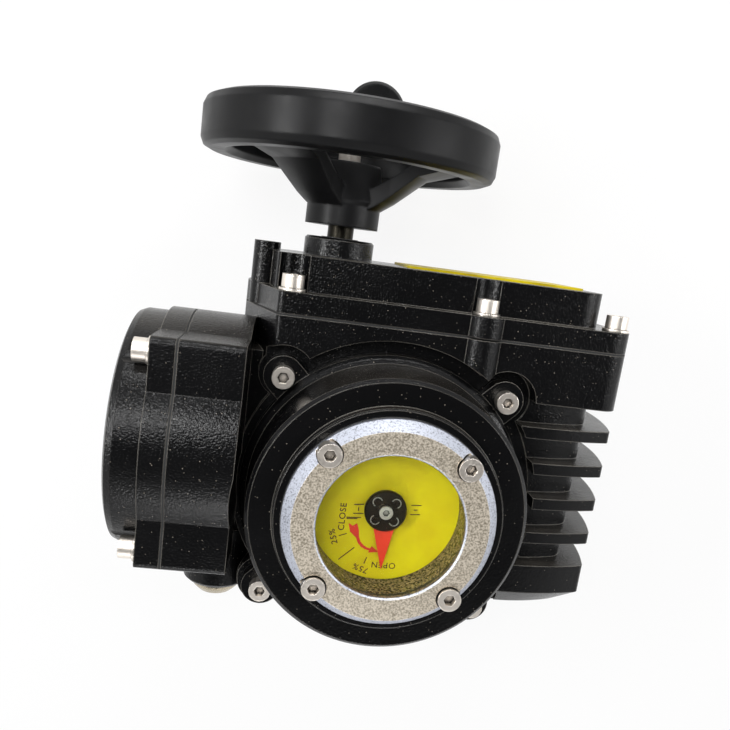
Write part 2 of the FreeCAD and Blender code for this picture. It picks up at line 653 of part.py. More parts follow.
def gear_cover():
    x, z = WORM_AXIS
    base = PARTING_Y + GASKET
    flange = slab("xz", box_outline(), base, COVER_FLANGE_Y)
    raised = slab("xz", raised_outline(), base, COVER_TOP_Y)
    pillar = rod(PILLAR_R, (PILLAR_X, base, PILLAR_Z), (PILLAR_X, COVER_FLANGE_Y, PILLAR_Z))
    post = rod(POST_R, (POST_X, base, POST_Z), (POST_X, POST_TOP_Y, POST_Z))
    tie = box((POST_X, POST_X + 10), (base, COVER_TOP_Y), (POST_Z - 5, POST_Z + 5))
    boss_h = BOSS_TOP_Y - COVER_TOP_Y
    boss = turned([(0, -2), (BOSS_R + 0.6, -2), (BOSS_R, 1), (BOSS_R, boss_h - 1), (BOSS_R - 1, boss_h),
                   (0, boss_h)], (x, COVER_TOP_Y, z), Y_AXIS)
    hub = rod(BOSS_R - 4, (x, hub_bottom(), z), (x, COVER_TOP_Y, z))
    stems = [rod(AXLE_R + 4, (ax, hub_bottom(), az), (ax, COVER_TOP_Y - 1, az))
             for ax, az in (FIRST_AXIS, SECOND_AXIS)]
    hollow = slab("xz", inner_outline(), base - 1, COVER_TOP_Y - COVER_ROOF)
    room = rod(room_radius(SHAFT_TEETH), (x, base - 1, z), (x, MID_GEARS_Y + GEAR_W + 1.5, z))
    cover = fused([flange, raised, pillar, post, tie, boss]).cut(fused([hollow, room]))
    cover = fused([cover, hub] + stems)
    holes = [rod(BUSH_R, (x, 0, z), (x, BOSS_TOP_Y + 1, z))]
    holes += [rod(AXLE_R, (ax, 0, az), (ax, COVER_TOP_Y - 3, az)) for ax, az in (FIRST_AXIS, SECOND_AXIS)]
    holes += [rod(M6[0] + HOLE_PLAY, (sx, 0, sz), (sx, COVER_FLANGE_Y + 1, sz)) for sx, sz in BOX_SCREWS]
    seats = [rod(WASHER_R + 0.5, (sx, COVER_FLANGE_Y, sz), (sx, COVER_TOP_Y + 1, sz))
             for sx, sz in BOX_SCREWS]
    return cover.cut(group(holes)).cut(group(seats))



def gear_cover_gasket():
    ring = slab("xz", box_outline(), PARTING_Y, PARTING_Y + GASKET)
    x, z = WORM_AXIS
    cut = [slab("xz", inner_outline(), PARTING_Y - 1, PARTING_Y + 2),
           rod(room_radius(SHAFT_TEETH), (x, PARTING_Y - 1, z), (x, PARTING_Y + 2, z))]
    cut += [rod(M6[0] + HOLE_PLAY, (sx, PARTING_Y - 1, sz), (sx, PARTING_Y + 2, sz)) for sx, sz in BOX_SCREWS]
    return ring.cut(fused(cut))


def terminal_cover():
    x0 = TERM_SEAM_X - TERM_FLANGE_H
    cap_l = x0 - TERM_END_X
    disc = rod(TERM_R, (x0, TERM_Y, TERM_Z), (TERM_SEAM_X, TERM_Y, TERM_Z))
    flange = terminal_square(x0, TERM_SEAM_X).fuse(disc)
    cap = turned([(0, 0), (TERM_CAP_R, 0), (TERM_CAP_R, cap_l - 4), (TERM_CAP_R - 1.2, cap_l - 1.2),
                  (TERM_CAP_R - 4, cap_l), (0, cap_l)], (x0, TERM_Y, TERM_Z), V(-1, 0, 0))
    hollow = rod(TERM_R - TERM_WALL, (TERM_END_X + TERM_CAP_WALL, TERM_Y, TERM_Z), (0, TERM_Y, TERM_Z))
    holes = [rod(M6[0] + HOLE_PLAY, (x0 - 1, y, z), (0, y, z)) for y, z in terminal_screw_places()]
    seats = [rod(WASHER_R + 0.5, (TERM_END_X - 1, y, z), (x0, y, z)) for y, z in terminal_screw_places()]
    return fused([flange, cap]).cut(hollow).cut(group(holes)).cut(group(seats))


def terminal_cover_gasket():
    x0 = TERM_SEAM_X
    x1 = TERM_SEAM_X + GASKET
    sheet = terminal_square(x0, x1).fuse(rod(TERM_R, (x0, TERM_Y, TERM_Z), (x1, TERM_Y, TERM_Z)))
    cut = [rod(TERM_R - TERM_WALL, (x0 - 1, TERM_Y, TERM_Z), (x1 + 1, TERM_Y, TERM_Z))]
    cut += [rod(M6[0] + HOLE_PLAY, (x0 - 1, y, z), (x1 + 1, y, z)) for y, z in terminal_screw_places()]
    return sheet.cut(group(cut))


def indicator_cover():
    base = BODY_TOP_Z + GASKET
    inside = COVER_FACE_Z - COVER_WALL
    well_end = DIAL_Z + DIAL_H + 1.5
    shell = turned([(COVER_DRUM_R - COVER_WALL, base), (COVER_FLANGE_R, base),
                    (COVER_FLANGE_R, COVER_FLANGE_TOP_Z - 1.5), (COVER_FLANGE_R - 1.5, COVER_FLANGE_TOP_Z),
                    (COVER_DRUM_R, COVER_FLANGE_TOP_Z + 1), (COVER_FACE_R + 0.2, COVER_FACE_Z - 1.6),
                    (COVER_FACE_R - 1.4, COVER_FACE_Z), (COVER_STEP_R + 0.3, COVER_FACE_Z),
                    (COVER_STEP_R, COVER_STEP_Z - 0.6), (COVER_STEP_R - 0.6, COVER_STEP_Z),
                    (RING_R + FIT_GAP, COVER_STEP_Z), (RING_R + FIT_GAP, RING_SEAT_Z), (WELL_R, RING_SEAT_Z),
                    (WELL_R, well_end), (WELL_R + WELL_WALL, well_end), (WELL_R + WELL_WALL, inside),
                    (COVER_DRUM_R - COVER_WALL, inside)], (0, 0, 0), Z_AXIS)
    lugs = []
    for x, y, z in on_circle(LUG_PCD, LUG_ANGLES, base):
        lugs.append(rod(LUG_R, (x, y, z), (x, y, z + LUG_H)))
    bridges = []
    for angle in LUG_ANGLES:
        bridge = box((COVER_DRUM_R - 3, LUG_PCD / 2), (-LUG_R, LUG_R), (base, base + LUG_H))
        bridge.rotate(V(0, 0, 0), Z_AXIS, angle)
        bridges.append(bridge)
    cover = fused([shell] + lugs + bridges)
    holes = [rod(M6[0] + HOLE_PLAY, (x, y, z), (x, y, z + 20))
             for x, y, z in on_circle(LUG_PCD, LUG_ANGLES, base - 1)]
    seats = [rod(M6[1] + 1.2, (x, y, z), (x, y, z + 9)) for x, y, z in
             on_circle(LUG_PCD, LUG_ANGLES, base + LUG_H)]
    threads = [rod(M6[0], (x, y, z), (x, y, RING_SEAT_Z + 1)) for x, y, z in
               on_circle(RING_PCD, LUG_ANGLES, inside - 1)]
    return cover.cut(group(holes)).cut(group(seats)).cut(group(threads))


def indicator_cover_gasket():
    z0 = BODY_TOP_Z
    z1 = BODY_TOP_Z + GASKET
    sheet = fused([rod(COVER_FLANGE_R, (0, 0, z0), (0, 0, z1))]
                  + [rod(LUG_R, (x, y, z0), (x, y, z1)) for x, y, z in on_circle(LUG_PCD, LUG_ANGLES, 0)])
    cut = [rod(COVER_DRUM_R - COVER_WALL + 1.5, (0, 0, z0 - 1), (0, 0, z1 + 1))]
    cut += [rod(M6[0] + HOLE_PLAY, (x, y, z), (x, y, z1 + 1))
            for x, y, z in on_circle(LUG_PCD, LUG_ANGLES, z0 - 1)]
    return sheet.cut(group(cut))


def name_plate():
    corners = [(x, z, 2.0) for x, z in ((LABEL_X[0], LABEL_Z[0]), (LABEL_X[1], LABEL_Z[0]),
                                        (LABEL_X[1], LABEL_Z[1]), (LABEL_X[0], LABEL_Z[1]))]
    return slab("xz", corners, COVER_TOP_Y, COVER_TOP_Y + LABEL_H)


# Window and dial

def window_ring():
    ring = turned([(RING_R, RING_SEAT_Z), (RING_R, RING_EDGE_Z), (RING_FACE_R, RING_TOP_Z),
                   (RING_BORE_R + 0.8, RING_TOP_Z), (RING_BORE_R, RING_TOP_Z - 0.8),
                   (RING_BORE_R, glass_top()), (GLASS_R + FIT_GAP, glass_top()),
                   (GLASS_R + FIT_GAP, RING_SEAT_Z)], (0, 0, 0), Z_AXIS)
    seat = RING_TOP_Z - RING_SCREW_DEPTH
    holes = [rod(M6[0] + HOLE_PLAY, (x, y, z), (x, y, RING_TOP_Z)) for x, y, z in
             on_circle(RING_PCD, LUG_ANGLES, RING_SEAT_Z - 1)]
    seats = [rod(M6[1] + 0.6, (x, y, z), (x, y, RING_TOP_Z + 1))
             for x, y, z in on_circle(RING_PCD, LUG_ANGLES, seat)]
    return ring.cut(group(holes)).cut(group(seats))


def glass_top():
    return RING_SEAT_Z + GLASS_GASKET_H + GLASS_H


def window_glass():
    z = RING_SEAT_Z + GLASS_GASKET_H
    return rod(GLASS_R, (0, 0, z), (0, 0, z + GLASS_H))


def glass_gasket():
    return tube(GLASS_R, WELL_R, (0, 0, RING_SEAT_Z), (0, 0, RING_SEAT_Z + GLASS_GASKET_H))


def dial_post_places():
    return [(DIAL_POST_ORBIT * math.cos(math.radians(a)), DIAL_POST_ORBIT * math.sin(math.radians(a)))
            for a in DIAL_POSTS]


def dial_plate():
    plate = tube(DIAL_R, INDICATOR_SHAFT_R + 1.5, (0, 0, DIAL_Z), (0, 0, DIAL_Z + DIAL_H))
    return plate.cut(group(rod(M3[0] + 0.2, (x, y, DIAL_Z - 1), (x, y, DIAL_Z + DIAL_H + 1))
                           for x, y in dial_post_places()))


def dial_posts():
    z0 = PLATE_Z + PLATE_H
    posts = [rod(DIAL_POST_R, (x, y, z0), (x, y, DIAL_Z)) for x, y in dial_post_places()]
    pins = [rod(M3[0], (x, y, z0 - 4), (x, y, DIAL_Z + DIAL_H)) for x, y in dial_post_places()]
    return group(post.fuse(pin) for post, pin in zip(posts, pins))


def bearing_plate():
    z1 = PLATE_Z + PLATE_H
    plate = rod(CHAMBER_R + LEDGE_W - FIT_GAP, (0, 0, PLATE_Z), (0, 0, z1))
    plate = plate.cut(box((MOTOR_SIDE_X - FIT_GAP, DRUM_R), (-DRUM_R, DRUM_R), (0, z1 + 1)))
    cut = [rod(UPPER_BUSH_R, (0, 0, 0), (0, 0, z1 + 1))]
    cut += [rod(M4[0] + HOLE_PLAY, (x, y, 0), (x, y, z1 + 1)) for x, y in plate_screw_places()]
    cut += [rod(M3[0], (x, y, z1 - 4), (x, y, z1 + 1)) for x, y in dial_post_places()]
    cut += [rod(M3[0], (x, y, z1 - 4), (x, y, z1 + 1)) for x, y in bracket_screw_places()]
    return plate.cut(group(cut))


def bracket_screw_places():
    return [(x, -SWITCH_ORBIT - SWITCH_SIZE[1] / 2 - 6.0) for x in (-6.0, 6.0)]


def switch_bracket():
    """Angle that carries the two limit switches on the bearing plate."""
    z0 = PLATE_Z + PLATE_H
    back = -SWITCH_ORBIT - SWITCH_SIZE[1] / 2
    foot = box((-11, 11), (back - 11, back), (z0, z0 + 1.5))
    wall = box((-11, 11), (back - 1.5, back), (z0, CAM_Z[1] + CAM_H + 3))
    holes = [rod(M3[0] + 0.2, (x, y, 0), (x, y, z0 + 3)) for x, y in bracket_screw_places()]
    return foot.fuse(wall).cut(group(holes))


def limit_switch(cam_z):
    """Small switch with a roller lever that stands clear of the cam's lobe."""
    length, depth, height = SWITCH_SIZE
    middle = cam_z + CAM_H / 2
    front = -SWITCH_ORBIT + depth / 2
    case = box((-length / 2, length / 2), (-SWITCH_ORBIT - depth / 2, front),
               (middle - height / 2, middle + height / 2))
    button = box((-1.5, 1.5), (front, front + 1.2), (middle - 1.5, middle + 1.5))
    roller_y = -(CAM_LOBE_R + ROLLER_R + 0.6)
    lever = slab("xy", [(-9, front, 0), (-8, front, 0), (-7.4, front + 1.2, 0), (5, roller_y - 0.6, 0),
                        (5, roller_y + 0.2, 0), (-9, front + 1.9, 0)], middle - 2, middle + 2)
    roller = rod(ROLLER_R, (5, roller_y, middle - 1.5), (5, roller_y, middle + 1.5))
    return fused([case, button, lever, roller])


# Output shaft and what turns with it

def square(half, low, high):
    return box((-half, half), (-half, half), (low, high))


def drive_sleeve():
    z0 = 0.5
    collar = CHAMBER_Z + BUSH_FLANGE_H + 0.1
    sleeve = turned([(0, z0), (SLEEVE_R, z0), (SLEEVE_R, collar), (COLLAR_R, collar), (COLLAR_R, WHEEL_Z0),
                     (WHEEL_SEAT_R, WHEEL_Z0), (WHEEL_SEAT_R, WHEEL_Z1), (WHEEL_SEAT_R - 1.2, WHEEL_Z1),
                     (WHEEL_SEAT_R - 1.2, WHEEL_Z1 + CLIP_H), (WHEEL_SEAT_R, WHEEL_Z1 + CLIP_H),
                     (WHEEL_SEAT_R, PLATE_Z - 0.6), (JOURNAL_R, PLATE_Z - 0.6),
                     (JOURNAL_R, PLATE_Z + PLATE_H + 1.5), (0, PLATE_Z + PLATE_H + 1.5)], (0, 0, 0), Z_AXIS)
    cut = [square(SQUARE_DRIVE / 2, -1, SQUARE_DEPTH), rod(INDICATOR_SHAFT_R, (0, 0, WHEEL_Z0), (0, 0, 200)),
           wheel_key()]
    return sleeve.cut(group(cut))



def wheel_key():
    return box((WHEEL_SEAT_R - 2.5, WHEEL_SEAT_R + 2.0), (-2.5, 2.5), (WHEEL_Z0, WHEEL_Z1))


def wheel_clip():
    ring = tube(WHEEL_SEAT_R + 2.4, WHEEL_SEAT_R - 1.2, (0, 0, WHEEL_Z1), (0, 0, WHEEL_Z1 + CLIP_H))
    return ring.cut(box((0, 30), (-1.5, 1.5), (0, 200)))


def worm_wheel():
    """Bronze wheel with teeth slanted to the worm's lead angle."""
    slant = math.tan(LEAD / (2 * math.pi * WORM_PITCH_R)) / WHEEL_PITCH_R * WHEEL_W / 2
    wires = [gear_wire(WHEEL_TEETH, WORM_MODULE, (0, 0), WHEEL_PHASE + side * slant, "xy", z)
             for side, z in ((-1, WHEEL_Z0), (1, WHEEL_Z1))]
    teeth = Part.makeLoft(wires, True, True)
    cut = [rod(WHEEL_SEAT_R, (0, 0, 0), (0, 0, 200)), wheel_key()]
    return teeth.cut(group(cut))



def lower_bush():
    low = OUTPUT_SEAL_H + 1
    bush = turned([(SLEEVE_R + RUN, low), (LOWER_BUSH_R, low), (LOWER_BUSH_R, CHAMBER_Z),
                   (COLLAR_R + 1, CHAMBER_Z), (COLLAR_R + 1, CHAMBER_Z + BUSH_FLANGE_H),
                   (SLEEVE_R + RUN, CHAMBER_Z + BUSH_FLANGE_H)], (0, 0, 0), Z_AXIS)
    return bush


def output_seal():
    return tube(OUTPUT_SEAL_R, SLEEVE_R + RUN, (0, 0, 1), (0, 0, OUTPUT_SEAL_H + 1))


def upper_bush():
    return tube(UPPER_BUSH_R, JOURNAL_R + RUN, (0, 0, PLATE_Z), (0, 0, PLATE_Z + PLATE_H))


def indicator_shaft():
    shaft = rod(INDICATOR_SHAFT_R, (0, 0, WHEEL_Z0 + 4), (0, 0, pointer_z()))
    return shaft.cut(rod(1.5, (0, 0, pointer_z() - 8), (0, 0, 200)))


def pointer_z():
    return DIAL_Z + DIAL_H + 1.2


def limit_cam(z, lobe_from, lobe_to):
    """Cam disc with one raised sector, given by its angles about the output axis at rest."""
    span = math.radians(lobe_to - lobe_from)
    points = [(0.0, 0.0, 0.0)]
    steps = 6
    for i in range(steps + 1):
        angle = math.radians(lobe_from) + span * i / steps
        points.append((CAM_LOBE_R * math.cos(angle), CAM_LOBE_R * math.sin(angle), 0.0))
    lobe = slab("xy", points, z, z + CAM_H)
    disc = rod(CAM_R, (0, 0, z), (0, 0, z + CAM_H))
    collar = rod(CAM_R - 5, (0, 0, z), (0, 0, z + CAM_H + 2.5))
    return fused([disc, lobe, collar]).cut(rod(INDICATOR_SHAFT_R, (0, 0, 0), (0, 0, 200)))


def pointer():
    z = pointer_z()
    blade = slab("xy", [(-POINTER_W / 2, 0, 0), (0, -POINTER_L, 0), (POINTER_W / 2, 0, 0)], z, z + POINTER_H)
    disc = rod(HUB_R - 1, (0, 0, z), (0, 0, z + POINTER_H))
    return blade.fuse(disc).cut(rod(1.7, (0, 0, 0), (0, 0, 200)))


def pointer_hub():
    """Round nut-like hub with four crescent pockets, holding the pointer down."""
    z = pointer_z() + POINTER_H
    hub = turned([(1.7, z), (HUB_R, z), (HUB_R, z + HUB_H - 0.6), (HUB_R - 0.6, z + HUB_H), (1.7, z + HUB_H)],
                 (0, 0, 0), Z_AXIS)
    pockets = []
    for angle in (45, 135, 225, 315):
        x = HUB_R * 0.62 * math.cos(math.radians(angle))
        y = HUB_R * 0.62 * math.sin(math.radians(angle))
        ring = tube(HUB_R * 0.24, HUB_R * 0.12, (x, y, z + HUB_H - 0.8), (x, y, z + HUB_H + 1))
        pockets.append(ring)
    return hub.cut(group(pockets))


def hub_screw():
    z = pointer_z() + POINTER_H + HUB_H
    return cap_screw((1.5, 3.0, 1.8), (0, 0, z), Z_AXIS, HUB_H + POINTER_H + 7)


# Worm shaft and the parts on it

def worm_shaft():
    x, z = WORM_AXIS
    low = LOWER_BEARING_Y
    root = WORM_PITCH_R - DEDENDUM * WORM_MODULE
    collar = SHAFT_R + 1.5
    lower = low + BEARING_W + FIT_GAP
    upper = upper_bearing_y() - FIT_GAP
    top = neck_top()
    shaft = turned([(0, low), (SHAFT_R, low), (SHAFT_R, lower), (collar, lower), (collar, -WORM_L / 2 - 6),
                    (root, -WORM_L / 2 - 3), (root, WORM_L / 2 + 3), (collar, WORM_L / 2 + 6),
                    (collar, upper),
                    (SHAFT_R, upper), (SHAFT_R, top), (0, top)], (x, 0, z), Y_AXIS)
    thread_hole = rod(M6[0], (x, top - THREAD_DEPTH, z), (x, top + 1, z))
    return fused([shaft, worm_thread(root)]).cut(group([shaft_key(), thread_hole]))


def worm_thread(root):
    """Right-hand thread. Its crest faces the wheel at the middle of the worm."""
    helix = Part.makeHelix(LEAD, WORM_L, WORM_PITCH_R)
    height = (ADDENDUM + DEDENDUM) * WORM_MODULE + 0.3
    tip_r = WORM_PITCH_R + ADDENDUM * WORM_MODULE
    half_pitch = (LEAD / 2 - BACKLASH) / 2
    slope = math.tan(math.radians(20))
    tip_half = half_pitch - ADDENDUM * WORM_MODULE * slope
    root_half = tip_half + height * slope
    profile = Part.makePolygon([V(tip_r - height, 0, -root_half), V(tip_r, 0, -tip_half),
                                V(tip_r, 0, tip_half),
                                V(tip_r - height, 0, root_half), V(tip_r - height, 0, -root_half)])
    thread = Part.Wire(helix.Edges).makePipeShell([profile], True, True)
    thread.translate(V(0, 0, -WORM_L / 2))
    thread.rotate(V(0, 0, 0), Z_AXIS, thread_turn())
    x, z = WORM_AXIS
    upright = FreeCAD.Placement(V(x, 0, z), FreeCAD.Rotation(Z_AXIS, Y_AXIS))
    thread.Placement = upright.multiply(thread.Placement)
    return thread


def thread_turn():
    """Turn, in degrees about the worm's own axis, that puts a crest at the middle on the wheel's side."""
    turns_to_middle = WORM_L / 2 / LEAD
    start = -360 * turns_to_middle
    rotation = FreeCAD.Rotation(Z_AXIS, Y_AXIS)
    towards_wheel = rotation.inverted().multVec(X_AXIS)
    return math.degrees(math.atan2(towards_wheel.y, towards_wheel.x)) + start


def shaft_key():
    x, z = WORM_AXIS
    return box((x - 2, x + 2), (MID_GEARS_Y, MID_GEARS_Y + GEAR_W), (z + SHAFT_R - 2, z + SHAFT_R + 1.6))


def worm_bearings():
    x, z = WORM_AXIS
    rings = []
    for y0 in (LOWER_BEARING_Y, upper_bearing_y()):
        rings.append(tube(BEARING_R, SHAFT_R + RUN, (x, y0, z), (x, y0 + BEARING_W, z)))
    return group(rings)


def upper_bearing_y():
    return BOX_FLOOR_Y - 2 - BEARING_W


def bearing_clip():
    x, z = WORM_AXIS
    return tube(BEARING_R, BEARING_R - 3, (x, BOX_FLOOR_Y - 2, z), (x, BOX_FLOOR_Y - 0.6, z))


def hub_bottom():
    """Lower end of the bosses inside the gear cover."""
    return COVER_TOP_Y - COVER_ROOF - 4


def shaft_bush():
    x, z = WORM_AXIS
    return tube(BUSH_R, SHAFT_R + RUN, (x, hub_bottom(), z), (x, BOSS_TOP_Y - 3.5, z))


def shaft_seal():
    x, z = WORM_AXIS
    return tube(BUSH_R, SHAFT_R + RUN, (x, BOSS_TOP_Y - 3.5, z), (x, BOSS_TOP_Y + 0.3, z))


def gear_phases():
    """Phases, in radians about +Y, that put all four meshes in step."""
    phase = {"shaft": 0.0}
    second_small = meshed_phase(SHAFT_TEETH, 0.0, SECOND_TEETH[1], heading(WORM_AXIS, SECOND_AXIS))
    first_small = meshed_phase(SECOND_TEETH[0], 0.0, FIRST_TEETH[1], heading(SECOND_AXIS, FIRST_AXIS))
    motor = meshed_phase(FIRST_TEETH[0], 0.0, MOTOR_TEETH, heading(FIRST_AXIS, MOTOR_AXIS))
    phase.update(second_small=second_small, first_small=first_small, motor=motor)
    return phase


def shaft_gear():
    gear = spur_gear(SHAFT_TEETH, WORM_AXIS, gear_phases()["shaft"], MID_GEARS_Y, SHAFT_R)
    return gear.cut(shaft_key())


def gear_spacers():
    """Distance sleeves that hold the shaft gear at its height between the bearing and the cover's hub."""
    x, z = WORM_AXIS
    outer = SHAFT_R + 1.2
    low = tube(outer, SHAFT_R, (x, BOX_FLOOR_Y - 2 + FIT_GAP, z), (x, MID_GEARS_Y, z))
    high = tube(outer, SHAFT_R, (x, MID_GEARS_Y + GEAR_W, z), (x, hub_bottom() - FIT_GAP, z))
    return group([low, high])


def compound_gear(axis, large, small, large_y, small_y, small_phase):
    big = spur_gear(large, axis, 0.0, large_y, AXLE_R + RUN)
    little = spur_gear(small, axis, small_phase, small_y, AXLE_R + RUN)
    low = min(large_y, small_y)
    high = max(large_y, small_y) + GEAR_W
    x, z = axis
    barrel = tube(AXLE_R + 2.5, AXLE_R + RUN, (x, low, z), (x, high, z))
    return fused([big, little, barrel])


def first_gear():
    return compound_gear(FIRST_AXIS, FIRST_TEETH[0], FIRST_TEETH[1], LOW_GEARS_Y, TOP_GEARS_Y,
                         gear_phases()["first_small"])


def second_gear():
    return compound_gear(SECOND_AXIS, SECOND_TEETH[0], SECOND_TEETH[1], TOP_GEARS_Y, MID_GEARS_Y,
                         gear_phases()["second_small"])


def gear_axles():
    return group(rod(AXLE_R, (x, BOX_FLOOR_Y - 4, z), (x, COVER_TOP_Y - 3, z))
                 for x, z in (FIRST_AXIS, SECOND_AXIS))


def axle_spacers():
    """Loose rings under and over the compound gears."""
    rings = []
    for (x, z), low in ((FIRST_AXIS, LOW_GEARS_Y), (SECOND_AXIS, MID_GEARS_Y)):
        rings.append(tube(AXLE_R + 2.5, AXLE_R, (x, BOX_FLOOR_Y, z), (x, low - 0.2, z)))
        rings.append(tube(AXLE_R + 2.5, AXLE_R, (x, TOP_GEARS_Y + GEAR_W + 0.2, z), (x, hub_bottom(), z)))
    return group(rings)


# Motor

def stator():
    x, z = MOTOR_AXIS
    y0 = stator_y()
    core = tube(STATOR_R, ROTOR_R + 0.5, (x, y0, z), (x, y0 + STATOR_L, z))
    return core


def stator_y():
    return (MOTOR_CAVITY_Y + BOX_FLOOR_Y - MOTOR_PLATE_H - STATOR_L) / 2


def windings():
    x, z = MOTOR_AXIS
    heads = []
    for y0, y1 in ((stator_y() - 13, stator_y()), (stator_y() + STATOR_L, stator_y() + STATOR_L + 13)):
        heads.append(turned([(ROTOR_R + 2, y0 + 2), (ROTOR_R + 4, y0), (STATOR_R - 4, y0),
                             (STATOR_R - 2, y0 + 2),
                             (STATOR_R - 2, y1), (ROTOR_R + 2, y1)], (x, 0, z), Y_AXIS))
    return group(heads)


def rotor():
    x, z = MOTOR_AXIS
    y0 = stator_y()
    low = MOTOR_CAVITY_Y - MOTOR_BEARING_W + 0.5
    plate_low = BOX_FLOOR_Y - MOTOR_BEARING_W
    shoulder = ROTOR_SHAFT_R + 2
    return turned([(0, low), (ROTOR_SHAFT_R, low), (ROTOR_SHAFT_R, MOTOR_CAVITY_Y),
                   (shoulder, MOTOR_CAVITY_Y),
                   (shoulder, y0), (ROTOR_R, y0), (ROTOR_R, y0 + STATOR_L), (shoulder, y0 + STATOR_L),
                   (ROTOR_SHAFT_R + 2, plate_low), (ROTOR_SHAFT_R, plate_low),
                   (ROTOR_SHAFT_R, LOW_GEARS_Y + GEAR_W), (0, LOW_GEARS_Y + GEAR_W)], (x, 0, z), Y_AXIS)


def motor_pinion():
    return spur_gear(MOTOR_TEETH, MOTOR_AXIS, gear_phases()["motor"], LOW_GEARS_Y, ROTOR_SHAFT_R)


def motor_bearings():
    x, z = MOTOR_AXIS
    rings = [tube(MOTOR_BEARING_R, ROTOR_SHAFT_R + RUN, (x, y0, z), (x, y0 + MOTOR_BEARING_W, z))
             for y0 in (MOTOR_CAVITY_Y - MOTOR_BEARING_W, BOX_FLOOR_Y - MOTOR_BEARING_W)]
    return group(rings)


def motor_plate():
    """Bearing shield that closes the motor's hollow under the gear train."""
    x, z = MOTOR_AXIS
    y0 = BOX_FLOOR_Y - MOTOR_PLATE_H
    hub_y = BOX_FLOOR_Y - MOTOR_BEARING_W - 1.5
    plate = turned([(ROTOR_SHAFT_R + 3.5, hub_y), (MOTOR_BEARING_R + 3, hub_y), (MOTOR_BEARING_R + 3, y0),
                    (MOTOR_PLATE_R, y0), (MOTOR_PLATE_R, BOX_FLOOR_Y), (MOTOR_BEARING_R, BOX_FLOOR_Y),
                    (MOTOR_BEARING_R, BOX_FLOOR_Y - MOTOR_BEARING_W),
                    (ROTOR_SHAFT_R + 3.5, BOX_FLOOR_Y - MOTOR_BEARING_W)], (x, 0, z), Y_AXIS)
    return plate.cut(group(rod(M3[0] + 0.2, (sx, y0 - 1, sz), (sx, BOX_FLOOR_Y + 1, sz))
                           for sx, sz in motor_screw_places()))


# Terminal compartment's contents

def terminal_block():
    """Ladder of eight terminals on the compartment's inner wall."""
    x1 = TERM_INNER_X
    y0 = TERM_Y - 31
    base = box((x1 - 5, x1), (y0, y0 + 62), (TERM_Z - 11, TERM_Z + 11))
    ridges = [box((x1 - 14, x1 - 4), (TERM_Y - 21 + 5.25 * i - 0.6, TERM_Y - 21 + 5.25 * i + 0.6),
                  (TERM_Z - 10, TERM_Z + 10)) for i in range(9)]
    spine = box((x1 - 12, x1 - 4), (TERM_Y - 21, TERM_Y + 21), (TERM_Z - 3, TERM_Z + 3))
    holes = [rod(M4[0] + HOLE_PLAY, (x1 - 6, y, z), (x1 + 1, y, z)) for y, z in block_screw_places()]
    return fused([base, spine] + ridges).cut(group(holes))


def conduit_plug():
    x, z = CONDUIT_X, TERM_Z
    y = CONDUIT_END_Y
    return turned([(0, y + 14), (CONDUIT_R, y + 14), (CONDUIT_R, y), (CONDUIT_R + 2, y),
                   (CONDUIT_R + 2, y - 2),
                   (CONDUIT_R + 1, y - 3.5), (CONDUIT_R - 1.5, y - 6), (0, y - 7)], (x, 0, z), Y_AXIS)


def earth_place():
    return (TERM_Y - 30, TERM_Z - 22)


def earth_screw():
    y, z = earth_place()
    clamp = tube(5.0, M4[0], (TERM_INNER_X - 1.0, y, z), (TERM_INNER_X, y, z))
    screw = cap_screw(M4, (TERM_INNER_X - 1.0, y, z), V(-1, 0, 0), 6.0)
    return group([screw, clamp])


# Handwheel and its folding grip

def spoke(azimuth):
    """Dished spoke, wider at the rim: a slice of a turned dish that rises from the hub to the rim."""
    low = WHEEL_HUB_BOTTOM_Y
    inner = WHEEL_HUB_R - 3
    outer = WHEEL_RIM_R - WHEEL_RIM_W + 2
    middle = inner + (outer - inner) * 0.55
    under = [(inner, low + 7.7), (WHEEL_HUB_R + 0.4, low + 8.7), (WHEEL_HUB_R + 6, low + 12.7),
             (middle, low + 24.7), (outer, low + 30.7)]
    over = [(outer, low + 30.7 + SPOKE_T), (middle - 1, low + 25.7 + SPOKE_T), (WHEEL_HUB_R + 4, low + 19.7),
            (inner, low + 15.7)]
    dish = turned(under + over, (WORM_X, 0, WORM_Z), Y_AXIS)
    root, waist, end = SPOKE_W
    wedge = slab("xz", [(-root, 0, 0), (-waist, 22, 0), (-end, outer + 8, 0), (end, outer + 8, 0),
                        (waist, 22, 0), (root, 0, 0)], low, WHEEL_TOP_Y)
    wedge.rotate(V(0, 0, 0), Y_AXIS, -azimuth)
    wedge.translate(V(WORM_X, 0, WORM_Z))
    return dish.common(wedge)


